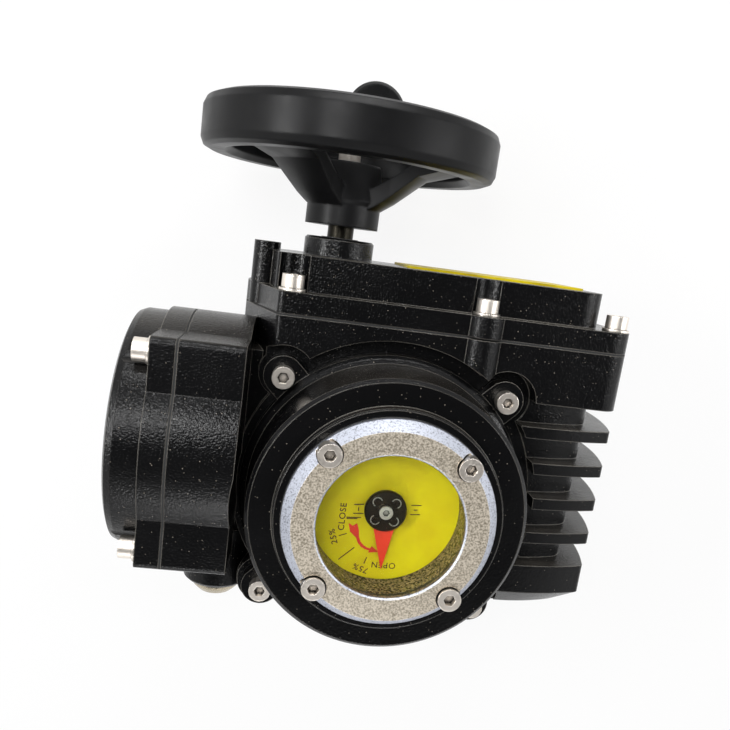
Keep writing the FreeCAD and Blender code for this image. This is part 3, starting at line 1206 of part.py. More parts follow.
def handwheel():
    x, z = WORM_AXIS
    inner = WHEEL_RIM_R - WHEEL_RIM_W
    top = WHEEL_RIM_H
    rim = turned([(inner, 2.5), (inner + 2.5, 0), (WHEEL_RIM_R - 4, 0), (WHEEL_RIM_R - 1.2, 1.2),
                  (WHEEL_RIM_R, 4), (WHEEL_RIM_R, top - 4), (WHEEL_RIM_R - 1.2, top - 1.2),
                  (WHEEL_RIM_R - 4, top), (inner + 3, top), (inner, top - 3)],
                 (x, WHEEL_BOTTOM_Y, z), Y_AXIS)
    hub = turned([(0, 0), (WHEEL_HUB_R, 0), (WHEEL_HUB_R, 9.7), (WHEEL_HUB_R + 1.0, 11.7),
                  (WHEEL_HUB_R - 2, WHEEL_HUB_H), (0, WHEEL_HUB_H)], (x, WHEEL_HUB_BOTTOM_Y, z), Y_AXIS)
    wheel = fused([rim, hub, pivot_lug()] + [spoke(a) for a in SPOKE_AZIMUTHS])
    reach = PIVOT_W / 2 + PIVOT_CHEEK + 1
    cut = [rod(SHAFT_R, (x, 0, z), (x, neck_top(), z)),
           rod(M6[0] + HOLE_PLAY, (x, 0, z), (x, WHEEL_TOP_Y, z)),
           rod(GRIP_PIN_R, (GRIP_X - reach, GRIP_Y, PIVOT_Z), (GRIP_X + reach, GRIP_Y, PIVOT_Z)), arm_slot()]
    return wheel.cut(group(cut))


def neck_top():
    """Upper end of the worm shaft inside the handwheel's hub."""
    return WHEEL_HUB_TOP_Y - 4


def pivot_lug():
    """Fork on the rim's top that carries the grip's hinge pin."""
    half = PIVOT_W / 2 + PIVOT_CHEEK
    cheek = rod(PIVOT_R, (GRIP_X - half, GRIP_Y, PIVOT_Z), (GRIP_X + half, GRIP_Y, PIVOT_Z))
    foot = box((GRIP_X - half, GRIP_X + half), (WHEEL_TOP_Y - 4, GRIP_Y),
               (PIVOT_Z - PIVOT_R + 1, PIVOT_Z + PIVOT_R))
    return cheek.fuse(foot)


def arm_slot():
    half = PIVOT_W / 2
    floor = WHEEL_TOP_Y - 4
    return box((GRIP_X - half, GRIP_X + half), (floor, floor + 40), (PIVOT_Z - 20, PIVOT_Z + 20))


def wheel_screw():
    x, z = WORM_AXIS
    return cap_screw(M6, (x, WHEEL_HUB_TOP_Y, z), Y_AXIS, 16)


def grip_pin():
    half = PIVOT_W / 2 + PIVOT_CHEEK
    return rod(GRIP_PIN_R, (GRIP_X - half, GRIP_Y, PIVOT_Z), (GRIP_X + half, GRIP_Y, PIVOT_Z))


def grip_arm():
    """Hinge eye and the rod that the grip turns on."""
    half = PIVOT_W / 2 - 0.4
    eye = rod(PIVOT_R - 1, (GRIP_X - half, GRIP_Y, PIVOT_Z), (GRIP_X + half, GRIP_Y, PIVOT_Z))
    spine = rod(GRIP_ROD_R, (GRIP_X, GRIP_Y, PIVOT_Z), (GRIP_X, GRIP_Y, GRIP_END_Z - 4))
    shoulder = rod(PIVOT_R - 1, (GRIP_X, GRIP_Y, PIVOT_Z), (GRIP_X, GRIP_Y, GRIP_START_Z - 0.4))
    head = rod(GRIP_ROD_R + 2, (GRIP_X, GRIP_Y, GRIP_END_Z - 4), (GRIP_X, GRIP_Y, GRIP_END_Z - 1.5))
    hole = rod(GRIP_PIN_R + RUN, (GRIP_X - 30, GRIP_Y, PIVOT_Z), (GRIP_X + 30, GRIP_Y, PIVOT_Z))
    return fused([eye, spine, shoulder, head]).cut(hole)


def grip():
    body = turned([(0, 0), (GRIP_NECK_R, 0), (GRIP_NECK_R + 1, 3), (GRIP_R - 1.5, GRIP_L * 0.55),
                   (GRIP_R, GRIP_L - 5), (GRIP_R, GRIP_L - 2), (GRIP_R - 1.5, GRIP_L), (0, GRIP_L)],
                  (GRIP_X, GRIP_Y, GRIP_START_Z), Z_AXIS)
    bore = rod(GRIP_ROD_R + RUN, (GRIP_X, GRIP_Y, 0), (GRIP_X, GRIP_Y, GRIP_END_Z + 1))
    mouth = rod(GRIP_ROD_R + 2.4, (GRIP_X, GRIP_Y, GRIP_END_Z - 4.3), (GRIP_X, GRIP_Y, GRIP_END_Z + 1))
    return body.cut(fused([bore, mouth]))


# Groups of like fasteners

def lug_screws():
    places = on_circle(LUG_PCD, LUG_ANGLES, BODY_TOP_Z + GASKET + LUG_H)
    return group(cap_screw(M6, p, Z_AXIS, LUG_H + GASKET + 12) for p in places)


def ring_screws():
    places = on_circle(RING_PCD, LUG_ANGLES, RING_TOP_Z - RING_SCREW_DEPTH)
    length = RING_TOP_Z - RING_SCREW_DEPTH - RING_SEAT_Z + RING_THREAD - 1.3
    return group(cap_screw(M6, p, Z_AXIS, length) for p in places)


def gear_cover_screws():
    seat = COVER_FLANGE_Y + WASHER_H
    return group(cap_screw(M6, (x, seat, z), Y_AXIS, seat - PARTING_Y + 12) for x, z in BOX_SCREWS)


def gear_cover_washers():
    return group(washer((x, COVER_FLANGE_Y, z), Y_AXIS) for x, z in BOX_SCREWS)


def terminal_cover_screws():
    seat = TERM_SEAM_X - TERM_FLANGE_H - WASHER_H
    return group(cap_screw(M6, (seat, y, z), V(-1, 0, 0), 24) for y, z in terminal_screw_places())


def terminal_cover_washers():
    seat = TERM_SEAM_X - TERM_FLANGE_H
    return group(washer((seat, y, z), V(-1, 0, 0)) for y, z in terminal_screw_places())


def inner_screws():
    """Screws of the bearing plate, switch bracket, motor plate and terminal block."""
    z1 = PLATE_Z + PLATE_H
    screws = [cap_screw((M4[0], 2.4, 2.5), (x, y, z1), Z_AXIS, PLATE_H + 8, False)
              for x, y in plate_screw_places()]
    screws += [cap_screw(M3, (x, y, z1 + 1.5), Z_AXIS, 5, False) for x, y in bracket_screw_places()]
    screws += [cap_screw(M3, (x, BOX_FLOOR_Y, z), Y_AXIS, MOTOR_PLATE_H + 6, False)
               for x, z in motor_screw_places()]
    screws += [cap_screw(M4, (TERM_INNER_X - 5, y, z), V(-1, 0, 0), 12, False)
               for y, z in block_screw_places()]
    return group(screws)


PARTS = {
    "gearbox_body": gearbox_body,
    "gear_cover": gear_cover,
    "gear_cover_gasket": gear_cover_gasket,
    "gear_cover_screws": gear_cover_screws,
    "gear_cover_washers": gear_cover_washers,
    "name_plate": name_plate,
    "indicator_cover": indicator_cover,
    "indicator_cover_gasket": indicator_cover_gasket,
    "lug_screws": lug_screws,
    "window_ring": window_ring,
    "ring_screws": ring_screws,
    "window_glass": window_glass,
    "glass_gasket": glass_gasket,
    "dial_plate": dial_plate,
    "dial_posts": dial_posts,
    "pointer": pointer,
    "pointer_hub": pointer_hub,
    "hub_screw": hub_screw,
    "indicator_shaft": indicator_shaft,
    "open_cam": lambda: limit_cam(CAM_Z[0], 240, 300),
    "close_cam": lambda: limit_cam(CAM_Z[1], -30, 30),
    "open_switch": lambda: limit_switch(CAM_Z[0]),
    "close_switch": lambda: limit_switch(CAM_Z[1]),
    "switch_bracket": switch_bracket,
    "bearing_plate": bearing_plate,
    "upper_bush": upper_bush,
    "drive_sleeve": drive_sleeve,
    "worm_wheel": worm_wheel,
    "wheel_key": wheel_key,
    "wheel_clip": wheel_clip,
    "lower_bush": lower_bush,
    "output_seal": output_seal,
    "worm_shaft": worm_shaft,
    "worm_bearings": worm_bearings,
    "bearing_clip": bearing_clip,
    "shaft_gear": shaft_gear,
    "shaft_key": shaft_key,
    "gear_spacers": gear_spacers,
    "shaft_bush": shaft_bush,
    "shaft_seal": shaft_seal,
    "first_gear": first_gear,
    "second_gear": second_gear,
    "gear_axles": gear_axles,
    "axle_spacers": axle_spacers,
    "motor_pinion": motor_pinion,
    "rotor": rotor,
    "stator": stator,
    "windings": windings,
    "motor_bearings": motor_bearings,
    "motor_plate": motor_plate,
    "inner_screws": inner_screws,
    "terminal_cover": terminal_cover,
    "terminal_cover_gasket": terminal_cover_gasket,
    "terminal_fasteners": lambda: group([terminal_cover_screws(), terminal_cover_washers()]),
    "terminal_block": terminal_block,
    "earth_screw": earth_screw,
    "conduit_plug": conduit_plug,
    "handwheel": handwheel,
    "wheel_screw": wheel_screw,
    "grip_arm": grip_arm,
    "grip_pin": grip_pin,
    "grip": grip,
}


os.makedirs("parts", exist_ok=True)
for name, make in PARTS.items():
    make().exportStep("parts/" + name + ".step")
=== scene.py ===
"""Looks of the quarter-turn valve actuator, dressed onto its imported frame, in metres."""

import math

import bpy
from mathutils import Matrix, Vector


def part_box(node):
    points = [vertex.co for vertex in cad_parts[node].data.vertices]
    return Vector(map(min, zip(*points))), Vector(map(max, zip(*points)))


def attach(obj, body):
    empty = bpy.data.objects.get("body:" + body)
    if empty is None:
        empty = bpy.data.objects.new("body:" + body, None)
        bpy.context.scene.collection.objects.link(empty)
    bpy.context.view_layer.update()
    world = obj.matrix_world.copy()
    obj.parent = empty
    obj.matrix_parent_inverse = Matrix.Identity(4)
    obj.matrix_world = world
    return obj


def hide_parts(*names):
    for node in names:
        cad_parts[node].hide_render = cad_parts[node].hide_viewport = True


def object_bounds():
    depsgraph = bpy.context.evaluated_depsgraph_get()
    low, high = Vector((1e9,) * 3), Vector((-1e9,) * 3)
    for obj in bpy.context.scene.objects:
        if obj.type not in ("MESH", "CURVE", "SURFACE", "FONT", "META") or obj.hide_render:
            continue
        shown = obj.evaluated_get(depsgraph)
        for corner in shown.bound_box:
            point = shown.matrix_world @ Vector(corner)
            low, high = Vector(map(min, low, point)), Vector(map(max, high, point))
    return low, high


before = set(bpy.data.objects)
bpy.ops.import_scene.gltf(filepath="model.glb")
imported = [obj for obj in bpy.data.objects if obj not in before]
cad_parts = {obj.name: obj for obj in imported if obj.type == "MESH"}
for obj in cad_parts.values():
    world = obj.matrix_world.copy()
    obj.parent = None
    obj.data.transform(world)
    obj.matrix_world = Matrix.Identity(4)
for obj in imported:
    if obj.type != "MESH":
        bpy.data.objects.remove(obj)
cad_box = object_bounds()
scene = bpy.context.scene


# Castings: gear case and its three covers, screwed together. Die-cast aluminium, stoved with a glossy black
# powder. It is nearly black, its orange peel catches the lamps as small sparks, and the thick coat rounds the
# edges. The edges are painted pale, as worn coat and as a painted highlight, specks of dust lie in drifts,
# and the faces towards the handwheel are painted paler in patches, a painted light on that side.

MM = 0.001
WELL_R = 36.0 * MM         # round the dial the indicator cover is painted a brown grain, up to this radius
WELL_EDGE_FADE = 0.2 * MM
BROWN_DARK = "1E1812"
BROWN_LIGHT = "7E6A4C"
BROWN_GRAIN = 1.1 * MM     # grain of that brown, drawn this coarse to show
COAT_BLACK = "0A0A0B"
COAT_DUST_AND_LIGHT = "857E73"
COAT_EDGE_WEAR_AND_HIGHLIGHT = "9A958C"
COAT_EDGE_R = 0.8 * MM
EDGE_TURN = (0.98, 0.84)   # how far the rounded normal leaves the flat one where the edge is painted pale, as worn coat and painted highlight
PATCH_WIDTH = 24.0 * MM     # width of a handled place, and of the patches of painted light on the faces towards the handwheel
SPECK_GAP = 2.2 * MM       # from one speck of dust to the next, coarser than real so that they show
SPECK_DRIFT = 5.0 * MM     # width of the drifts that they gather in
LIT_SIDE_FROM = 0.75          # part of a face's normal that points at the handwheel before the face is painted paler, a painted light
LIT_SIDE_MOST = 0.22


def linear(code, share=1.0):
    """Linear colour of a hex sRGB code, darkened to a share of it."""
    values = [int(code[i:i + 2], 16) / 255 for i in (0, 2, 4)]
    return [share * (v / 12.92 if v <= 0.04045 else ((v + 0.055) / 1.055) ** 2.4) for v in values] + [1.0]


def grey(value):
    """The plain number that a ramp gives out, as the colour that it is set with."""
    return (value, value, value, 1.0)


def new_material(name):
    """Empty material, its node tree and its Principled shader."""
    material = bpy.data.materials.new(name)
    material.use_nodes = True
    return material, material.node_tree, material.node_tree.nodes["Principled BSDF"]


def add(tree, kind, inputs=None, stops=None, **settings):
    """Adds a node with its settings. An input is a value or the socket that feeds it, stops are a ramp's."""
    made = tree.nodes.new("ShaderNode" + kind)
    for key, value in settings.items():
        setattr(made, key, value)
    for key, value in (inputs or {}).items():
        if isinstance(value, bpy.types.NodeSocket):
            tree.links.new(value, made.inputs[key])
        else:
            made.inputs[key].default_value = value
    for number, (position, colour) in enumerate(stops or []):
        elements = made.color_ramp.elements
        element = elements[number] if number < len(elements) else elements.new(position)
        element.position = position
        element.color = colour
    return made.outputs


def dress(material, *nodes):
    """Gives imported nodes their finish."""
    for name in nodes:
        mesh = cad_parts[name].data
        mesh.materials.clear()
        mesh.materials.append(material)


def radius_share(tree, place, inner, outer):
    """0 out from the outer radius round the output axis, and 1 in from the inner one."""
    across = add(tree, "VectorMath", {0: place, 1: (1.0, 1.0, 0.0)}, operation="MULTIPLY")["Vector"]
    radius = add(tree, "VectorMath", {0: across}, operation="LENGTH")["Value"]
    return add(tree, "MapRange", {"Value": radius, "From Min": outer, "From Max": inner})["Result"]


def brown_grain(tree, place):
    """Brown grain in a dark and a lighter tone, which the window shows on the wall below it."""
    grease = add(tree, "TexNoise", {"Vector": place, "Scale": 1 / BROWN_GRAIN, "Detail": 4.0})["Fac"]
    tones = [(0.4, linear(BROWN_DARK)), (0.62, linear(BROWN_LIGHT))]
    return add(tree, "ValToRGB", {"Fac": grease}, tones)["Color"]


def textured_powder_coat(name, peel_mm, depth_mm, brown_r=0.0):
    """Powder coat with an orange peel of the given grain and depth, painted a brown grain inside a radius."""
    material, tree, shader = new_material(name)
    place = add(tree, "TexCoord")["Object"]
    normal = add(tree, "NewGeometry")["Normal"]
    patchy = add(tree, "TexNoise", {"Vector": place, "Scale": 1 / PATCH_WIDTH, "Detail": 3.0})["Fac"]

    cells = add(tree, "TexVoronoi", {"Vector": place, "Scale": 1 / SPECK_GAP}, feature="F1")["Distance"]
    dots = add(tree, "ValToRGB", {"Fac": cells}, [(0.06, grey(1.0)), (0.14, grey(0.0))])["Color"]
    drift = add(tree, "TexNoise", {"Vector": place, "Scale": 1 / SPECK_DRIFT, "Detail": 3.0})["Fac"]
    gathered = add(tree, "ValToRGB", {"Fac": drift}, [(0.42, grey(0.0)), (0.62, grey(1.0))])["Color"]
    specks = add(tree, "Math", {0: dots, 1: gathered}, operation="MULTIPLY")["Value"]
    # faces towards the handwheel are painted paler in patches: a painted light on that side, mixed with the
    # dust specks
    facing = add(tree, "SeparateXYZ", {"Vector": normal})["Y"]
    tilt = {"Value": facing, "From Min": LIT_SIDE_FROM, "To Max": LIT_SIDE_MOST}
    lit_side = add(tree, "MapRange", tilt)["Result"]
    patches = add(tree, "Math", {0: lit_side, 1: patchy}, operation="MULTIPLY")["Value"]
    dust_and_lit_side = add(tree, "Math", {0: specks, 1: patches}, operation="MAXIMUM")["Value"]
    mix = {"Fac": dust_and_lit_side, "Color1": linear(COAT_BLACK), "Color2": linear(COAT_DUST_AND_LIGHT)}
    dusty_and_lit = add(tree, "MixRGB", mix)["Color"]

    # the edges are painted pale: partly the coat worn thin there, partly a painted highlight
    edge = add(tree, "Bevel", {"Radius": COAT_EDGE_R}, samples=6)["Normal"]
    flat = add(tree, "VectorMath", {0: edge, 1: normal}, operation="DOT_PRODUCT")["Value"]
    turn = {"Value": flat, "From Min": EDGE_TURN[0], "From Max": EDGE_TURN[1]}
    thin = add(tree, "MapRange", turn)["Result"]
    rubbed_and_highlit = add(tree, "Math", {0: thin, 1: patchy}, operation="MULTIPLY")["Value"]
    mix = {"Fac": rubbed_and_highlit, "Color1": dusty_and_lit, "Color2": linear(COAT_EDGE_WEAR_AND_HIGHLIGHT)}
    coated = add(tree, "MixRGB", mix)["Color"]
    # inside the radius round the dial the coat is painted a brown grain
    in_well = radius_share(tree, place, brown_r, brown_r + WELL_EDGE_FADE)
    mix = {"Fac": in_well, "Color1": coated, "Color2": brown_grain(tree, place)}
    colour = add(tree, "MixRGB", mix)["Color"]
    tree.links.new(colour, shader.inputs["Base Color"])

    gloss = add(tree, "ValToRGB", {"Fac": patchy}, [(0.3, grey(0.16)), (0.75, grey(0.28))])["Color"]
    tree.links.new(gloss, shader.inputs["Roughness"])
    shader.inputs["Specular IOR Level"].default_value = 0.22
    peel = add(tree, "TexNoise", {"Vector": place, "Scale": 1 / (peel_mm * MM), "Detail": 1.0})["Fac"]
    grain = add(tree, "ValToRGB", {"Fac": peel}, [(0.34, grey(0.0)), (0.68, grey(1.0))])["Color"]
    bump = add(tree, "Bump", {"Height": grain, "Distance": depth_mm * MM, "Strength": 1.0, "Normal": edge})
    tree.links.new(bump["Normal"], shader.inputs["Normal"])
    return material


dress(textured_powder_coat("stoved_black_powder", 0.85, 0.075),
      "gearbox_body", "gear_cover", "terminal_cover")
dress(textured_powder_coat("fine_black_powder", 0.8, 0.045, WELL_R), "indicator_cover")


# Gaskets and seals: black gaskets cut from sheet and pressed between the castings, and nitrile rings moulded
# for the shafts and the glass. Dull and even to the eye. The real grain of the mould is about 0.1 mm, and it
# is drawn coarser, at 0.6 to 0.8 mm, so that it shows.

MOULD_CLOUD = 8.0 * MM


def moulded(name, colour, roughness, grain_mm, depth_mm):
    """Moulded rubber or plastic, and thin ink or paint: one colour, slightly cloudy, with a fine grain."""
    material, tree, shader = new_material(name)
    place = add(tree, "TexCoord")["Object"]
    cloud = add(tree, "TexNoise", {"Vector": place, "Scale": 1 / MOULD_CLOUD, "Detail": 3.0})["Fac"]
    tones = [(0.3, linear(colour, 0.78)), (0.7, linear(colour))]
    tone = add(tree, "ValToRGB", {"Fac": cloud}, tones)["Color"]
    tree.links.new(tone, shader.inputs["Base Color"])
    shader.inputs["Roughness"].default_value = roughness
    grain = add(tree, "TexNoise", {"Vector": place, "Scale": 1 / (grain_mm * MM), "Detail": 2.0})["Fac"]
    bump = add(tree, "Bump", {"Height": grain, "Distance": depth_mm * MM, "Strength": 1.0})["Normal"]
    tree.links.new(bump, shader.inputs["Normal"])
    return material


dress(moulded("nitrile_rubber", "131313", 0.5, 0.6, 0.02), "output_seal", "shaft_seal", "glass_gasket")
dress(moulded("gasket_sheet", "151515", 0.75, 0.8, 0.03),
      "gear_cover_gasket", "indicator_cover_gasket", "terminal_cover_gasket")


# Screws and washers: bright stainless steel, turned and screwed down into the castings. Turned heads keep a
# soft sheen, and painted shade darkens the sockets and the seam under each head, which is what shows the
# sockets from a distance.

SCREW_STEEL = "F0E8DE"
SOCKET_SHADE = "1C1814"
SHADE_REACH = 2.6 * MM
TURNING_MARKS = 0.7 * MM   # finer on a real screw, and drawn this coarse to show
SCREW_EDGE_R = 0.5 * MM


def turned_stainless_steel():
    """Turned stainless steel with painted shade in whatever is narrower than the shade's reach."""
    material, tree, shader = new_material("turned_stainless_steel")
    place = add(tree, "TexCoord")["Object"]
    # painted shade: dark where other surfaces are near, in the sockets and under each head
    open_share = add(tree, "AmbientOcclusion", {"Distance": SHADE_REACH}, samples=8)["AO"]
    unshaded = add(tree, "ValToRGB", {"Fac": open_share}, [(0.42, grey(0.0)), (0.78, grey(1.0))])["Color"]
    mix = {"Fac": unshaded, "Color1": linear(SOCKET_SHADE), "Color2": linear(SCREW_STEEL)}
    colour = add(tree, "MixRGB", mix)["Color"]
    tree.links.new(colour, shader.inputs["Base Color"])
    shader.inputs["Metallic"].default_value = 1.0
    turned = add(tree, "TexNoise", {"Vector": place, "Scale": 1 / TURNING_MARKS, "Detail": 3.0})["Fac"]
    sheen = add(tree, "ValToRGB", {"Fac": turned}, [(0.25, grey(0.3)), (0.75, grey(0.46))])["Color"]
    tree.links.new(sheen, shader.inputs["Roughness"])
    edge = add(tree, "Bevel", {"Radius": SCREW_EDGE_R}, samples=4)["Normal"]
    bump = add(tree, "Bump", {"Height": turned, "Distance": 0.02 * MM, "Strength": 1.0, "Normal": edge})
    tree.links.new(bump["Normal"], shader.inputs["Normal"])
    return material


dress(turned_stainless_steel(), "gear_cover_screws", "gear_cover_washers", "lug_screws", "ring_screws",
      "terminal_fasteners", "inner_screws", "wheel_screw", "hub_screw")


# Window ring: turned aluminium, bead blasted and held by four screws. The blasting leaves a bright grain
# with dark pits, drawn coarser than the real 0.2 mm so that it shows, and a painted reflection makes it cool
# on the bevel and warm on the flat top. The bore below the glass is painted a brown grain.

BEVEL_REFLECTION = ("82858F", "CBCFDA")
LAND_REFLECTION = ("A69C8A", "E0D6C6")
LAND_TILT = (0.96, 0.99)   # part of the normal that points up, from the bevel to the flat top
RING_PIT = "2E2B28"
BLAST_GRAIN = 0.75 * MM
PIT_GAP = 2.4 * MM
BORE_EDGE_R = 31.3 * MM
BROWN_BORE_R = 31.0 * MM
RING_EDGE_R = 0.6 * MM


def bead_blasted_aluminium():
    """Blasted aluminium with pits, in two tones of painted reflection on the bevel and the flat top, and a
    brown bore that is no metal.
    """
    material, tree, shader = new_material("bead_blasted_aluminium")
    place = add(tree, "TexCoord")["Object"]
    blast = add(tree, "TexNoise", {"Vector": place, "Scale": 1 / BLAST_GRAIN, "Detail": 3.0})["Fac"]
    level = add(tree, "SeparateXYZ", {"Vector": add(tree, "NewGeometry")["Normal"]})["Z"]
    tilt = {"Value": level, "From Min": LAND_TILT[0], "From Max": LAND_TILT[1]}
    land = add(tree, "MapRange", tilt)["Result"]
    # painted reflection: the bevel gets cool tones and the flat top warm ones
    tones = [(0.3, linear(BEVEL_REFLECTION[0])), (0.5, linear(BEVEL_REFLECTION[1]))]
    bevel = add(tree, "ValToRGB", {"Fac": blast}, tones)["Color"]
    tones = [(0.34, linear(LAND_REFLECTION[0])), (0.6, linear(LAND_REFLECTION[1]))]
    face = add(tree, "ValToRGB", {"Fac": blast}, tones)["Color"]
    grain = add(tree, "MixRGB", {"Fac": land, "Color1": bevel, "Color2": face})["Color"]
    cells = add(tree, "TexVoronoi", {"Vector": place, "Scale": 1 / PIT_GAP}, feature="F1")["Distance"]
    pits = add(tree, "ValToRGB", {"Fac": cells}, [(0.0, grey(1.0)), (0.12, grey(0.0))])["Color"]
    blasted = add(tree, "MixRGB", {"Fac": pits, "Color1": grain, "Color2": linear(RING_PIT)})["Color"]
    # the bore below the glass is painted a brown grain, and is no metal
    bore = radius_share(tree, place, BROWN_BORE_R, BORE_EDGE_R)
    mix = {"Fac": bore, "Color1": blasted, "Color2": brown_grain(tree, place)}
    colour = add(tree, "MixRGB", mix)["Color"]
    tree.links.new(colour, shader.inputs["Base Color"])
    bare = add(tree, "MapRange", {"Value": bore, "To Min": 1.0, "To Max": 0.0})["Result"]
    tree.links.new(bare, shader.inputs["Metallic"])
    sheen = add(tree, "ValToRGB", {"Fac": blast}, [(0.3, grey(0.42)), (0.7, grey(0.55))])["Color"]
    tree.links.new(sheen, shader.inputs["Roughness"])
    edge = add(tree, "Bevel", {"Radius": RING_EDGE_R}, samples=4)["Normal"]
    bump = add(tree, "Bump", {"Height": blast, "Distance": 0.05 * MM, "Strength": 1.0, "Normal": edge})
    tree.links.new(bump["Normal"], shader.inputs["Normal"])
    return material


dress(bead_blasted_aluminium(), "window_ring")


# Window: a flat disc of toughened glass, polished, lying on its gasket under the ring. It is clear and
# mirrors little, so the dial stays plain to read, and the lamps pass through it without a dark shadow.

GLASS_TINT = "F4FAF6"
SHADOW_TINT = "F9FBF9"


def toughened_glass():
    """Clear glass that lets the lamps' light straight through."""
    material, tree, shader = new_material("toughened_glass")
    shader.inputs["Base Color"].default_value = linear(GLASS_TINT)
    shader.inputs["Roughness"].default_value = 0.02
    shader.inputs["IOR"].default_value = 1.5
    shader.inputs["Transmission Weight"].default_value = 1.0
    shader.inputs["Specular IOR Level"].default_value = 0.08
    through = add(tree, "BsdfTransparent", {"Color": linear(SHADOW_TINT)})["BSDF"]
    shadow = add(tree, "LightPath")["Is Shadow Ray"]
    mixed = add(tree, "MixShader", {0: shadow, 1: shader.outputs["BSDF"], 2: through})["Shader"]
    tree.links.new(mixed, tree.nodes["Material Output"].inputs["Surface"])
    return material


dress(toughened_glass(), "window_glass")


# Dial and name plate: thin aluminium sheets, punched out and screen printed yellow. The dial stands on its
# posts, a clean lemon behind its glass. The bare plate on the gear cover has faded and gathered dirt.

FADE_PATCH = 16.0 * MM
GRIT_GAP = 5.0 * MM
GRIT = "3C3010"


def printed_sheet(name, colour, faded, roughness):
    """Screen-printed sheet: flat ink with a slow change of tone and a little grit."""
    material, tree, shader = new_material(name)
    place = add(tree, "TexCoord")["Object"]
    fade = add(tree, "TexNoise", {"Vector": place, "Scale": 1 / FADE_PATCH, "Detail": 4.0})["Fac"]
    tone = add(tree, "ValToRGB", {"Fac": fade}, [(0.35, linear(faded)), (0.6, linear(colour))])["Color"]
    cells = add(tree, "TexVoronoi", {"Vector": place, "Scale": 1 / GRIT_GAP}, feature="F1")["Distance"]
    grit = add(tree, "ValToRGB", {"Fac": cells}, [(0.0, grey(0.8)), (0.045, grey(0.0))])["Color"]
    gritty = add(tree, "MixRGB", {"Fac": grit, "Color1": tone, "Color2": linear(GRIT)})["Color"]
    tree.links.new(gritty, shader.inputs["Base Color"])
    shader.inputs["Roughness"].default_value = roughness
    shader.inputs["Specular IOR Level"].default_value = 0.25
    return material


dial_ink = printed_sheet("dial_yellow_ink", "DFCB00", "D6BC00", 0.6)
dress(dial_ink, "dial_plate")
dress(printed_sheet("faded_yellow_ink", "D9C40C", "B7A000", 0.45), "name_plate")


# Dial printing: brown lettering and marks and a red arrow, screen printed on the dial, whose yellow also
# covers the tips of its three posts. Each print is a matt film a twentieth of a millimetre thick. Places are
# in millimetres from the output axis, and angles in degrees.

DIAL_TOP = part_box("dial_plate")[1].z
INK_FILM = 0.05 * MM
LETTER_H = 3.9                    # body height of the lettering, its capitals are 2.7 high
LETTER_SPACING = 1.16
LETTER_BOLD = 0.05
LETTER_HALF = 0.4 * INK_FILM      # half the thickness of a letter
LETTER_MIDDLE = 0.6 * INK_FILM    # its middle lies this high, so that it is clear of the dial
MARK_W = 0.45
POST_ANGLES = (90, 205, 300)
POST_ORBIT = 33.0
POST_DISC_R = 2.0
WORDS = [("close_word", "CLOSE", (-18.0, -5.8), 91.0), ("quarter_mark", "25%", (-20.9, -15.4), 109.0),
         ("three_quarter_mark", "75%", (-7.0, -29.3), 163.0), ("open_word", "OPEN", (3.1, -26.8), 181.0)]
MARKS = [((-16.3, -5.8), (-9.9, -5.4)), ((-16.2, -6.4), (-11.4, -6.0)), ((-18.6, -14.8), (-15.2, -13.4)),
         ((-17.4, -26.0), (-11.0, -19.6)), ((-5.8, -26.9), (-4.8, -23.7)), ((-13.7, 0.4), (-9.3, 0.9)),
         ((-13.6, -3.7), (-9.0, -3.4)), ((-11.4, -2.4), (-11.5, -0.7)), ((11.6, 2.5), (16.1, 2.9)),
         ((13.0, 0.4), (14.7, 0.6)), ((11.7, -1.8), (16.1, -1.4))]
ARROW_TAIL = [(-15.0, -8.4), (-13.9, -12.4), (-10.9, -14.9)]
ARROW_SHAFT_OUT = [(-9.8, -17.3), (-8.1, -19.1), (-6.1, -20.1), (-4.3, -20.5)]
ARROW_HEAD = [(-4.5, -21.5), (0.1, -20.8), (-3.3, -18.3)]
ARROW_SHAFT_IN = [(-4.0, -19.5), (-5.4, -19.1), (-7.2, -18.1), (-8.7, -16.5), (-9.6, -14.2)]
ARROW_NOTCH = [(-10.0, -11.4), (-11.2, -8.1), (-13.0, -9.5)]

brown_ink = moulded("brown_dial_ink", "4C1C04", 0.6, 1.0, 0.001)
red_ink = moulded("red_dial_ink", "E6321A", 0.55, 1.0, 0.001)


def on_circle(radius, degrees):
    """Point at an angle on a circle round the origin."""
    angle = math.radians(degrees)
    return Vector((math.cos(angle), math.sin(angle))) * radius


def thin_plate(name, outline, low, high, material, body):
    """Flat piece with an outline in millimetres, between two heights, riding on a body."""
    mesh = bpy.data.meshes.new(name)
    count = len(outline)
    corners = [(x * MM, y * MM, z) for z in (low, high) for x, y in outline]
    faces = [tuple(range(count, 2 * count)), tuple(reversed(range(count)))]
    faces += [(i, (i + 1) % count, count + (i + 1) % count, count + i) for i in range(count)]
    mesh.from_pydata(corners, [], faces)
    mesh.materials.append(material)
    piece = bpy.data.objects.new(name, mesh)
    scene.collection.objects.link(piece)
    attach(piece, body)
    return piece


for name, text, (x, y), angle in WORDS:
    lettering = bpy.data.curves.new(name, "FONT")
    lettering.body = text
    lettering.size = LETTER_H * MM
    lettering.space_character = LETTER_SPACING
    lettering.align_x = "CENTER"
    lettering.align_y = "CENTER"
    lettering.extrude = LETTER_HALF
    lettering.offset = LETTER_BOLD * MM
    lettering.materials.append(brown_ink)
    letters = bpy.data.objects.new(name, lettering)
    scene.collection.objects.link(letters)
    letters.matrix_world = (Matrix.Translation((x * MM, y * MM, DIAL_TOP + LETTER_MIDDLE))
                            @ Matrix.Rotation(math.radians(angle), 4, "Z"))
    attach(letters, "housing")

for number, (start, end) in enumerate(MARKS):
    a, b = Vector(start), Vector(end)
    side = (b - a).normalized().orthogonal() * MARK_W / 2
    thin_plate("dial_mark_%02d" % number, [a + side, a - side, b - side, b + side], DIAL_TOP,
               DIAL_TOP + INK_FILM, brown_ink, "housing")

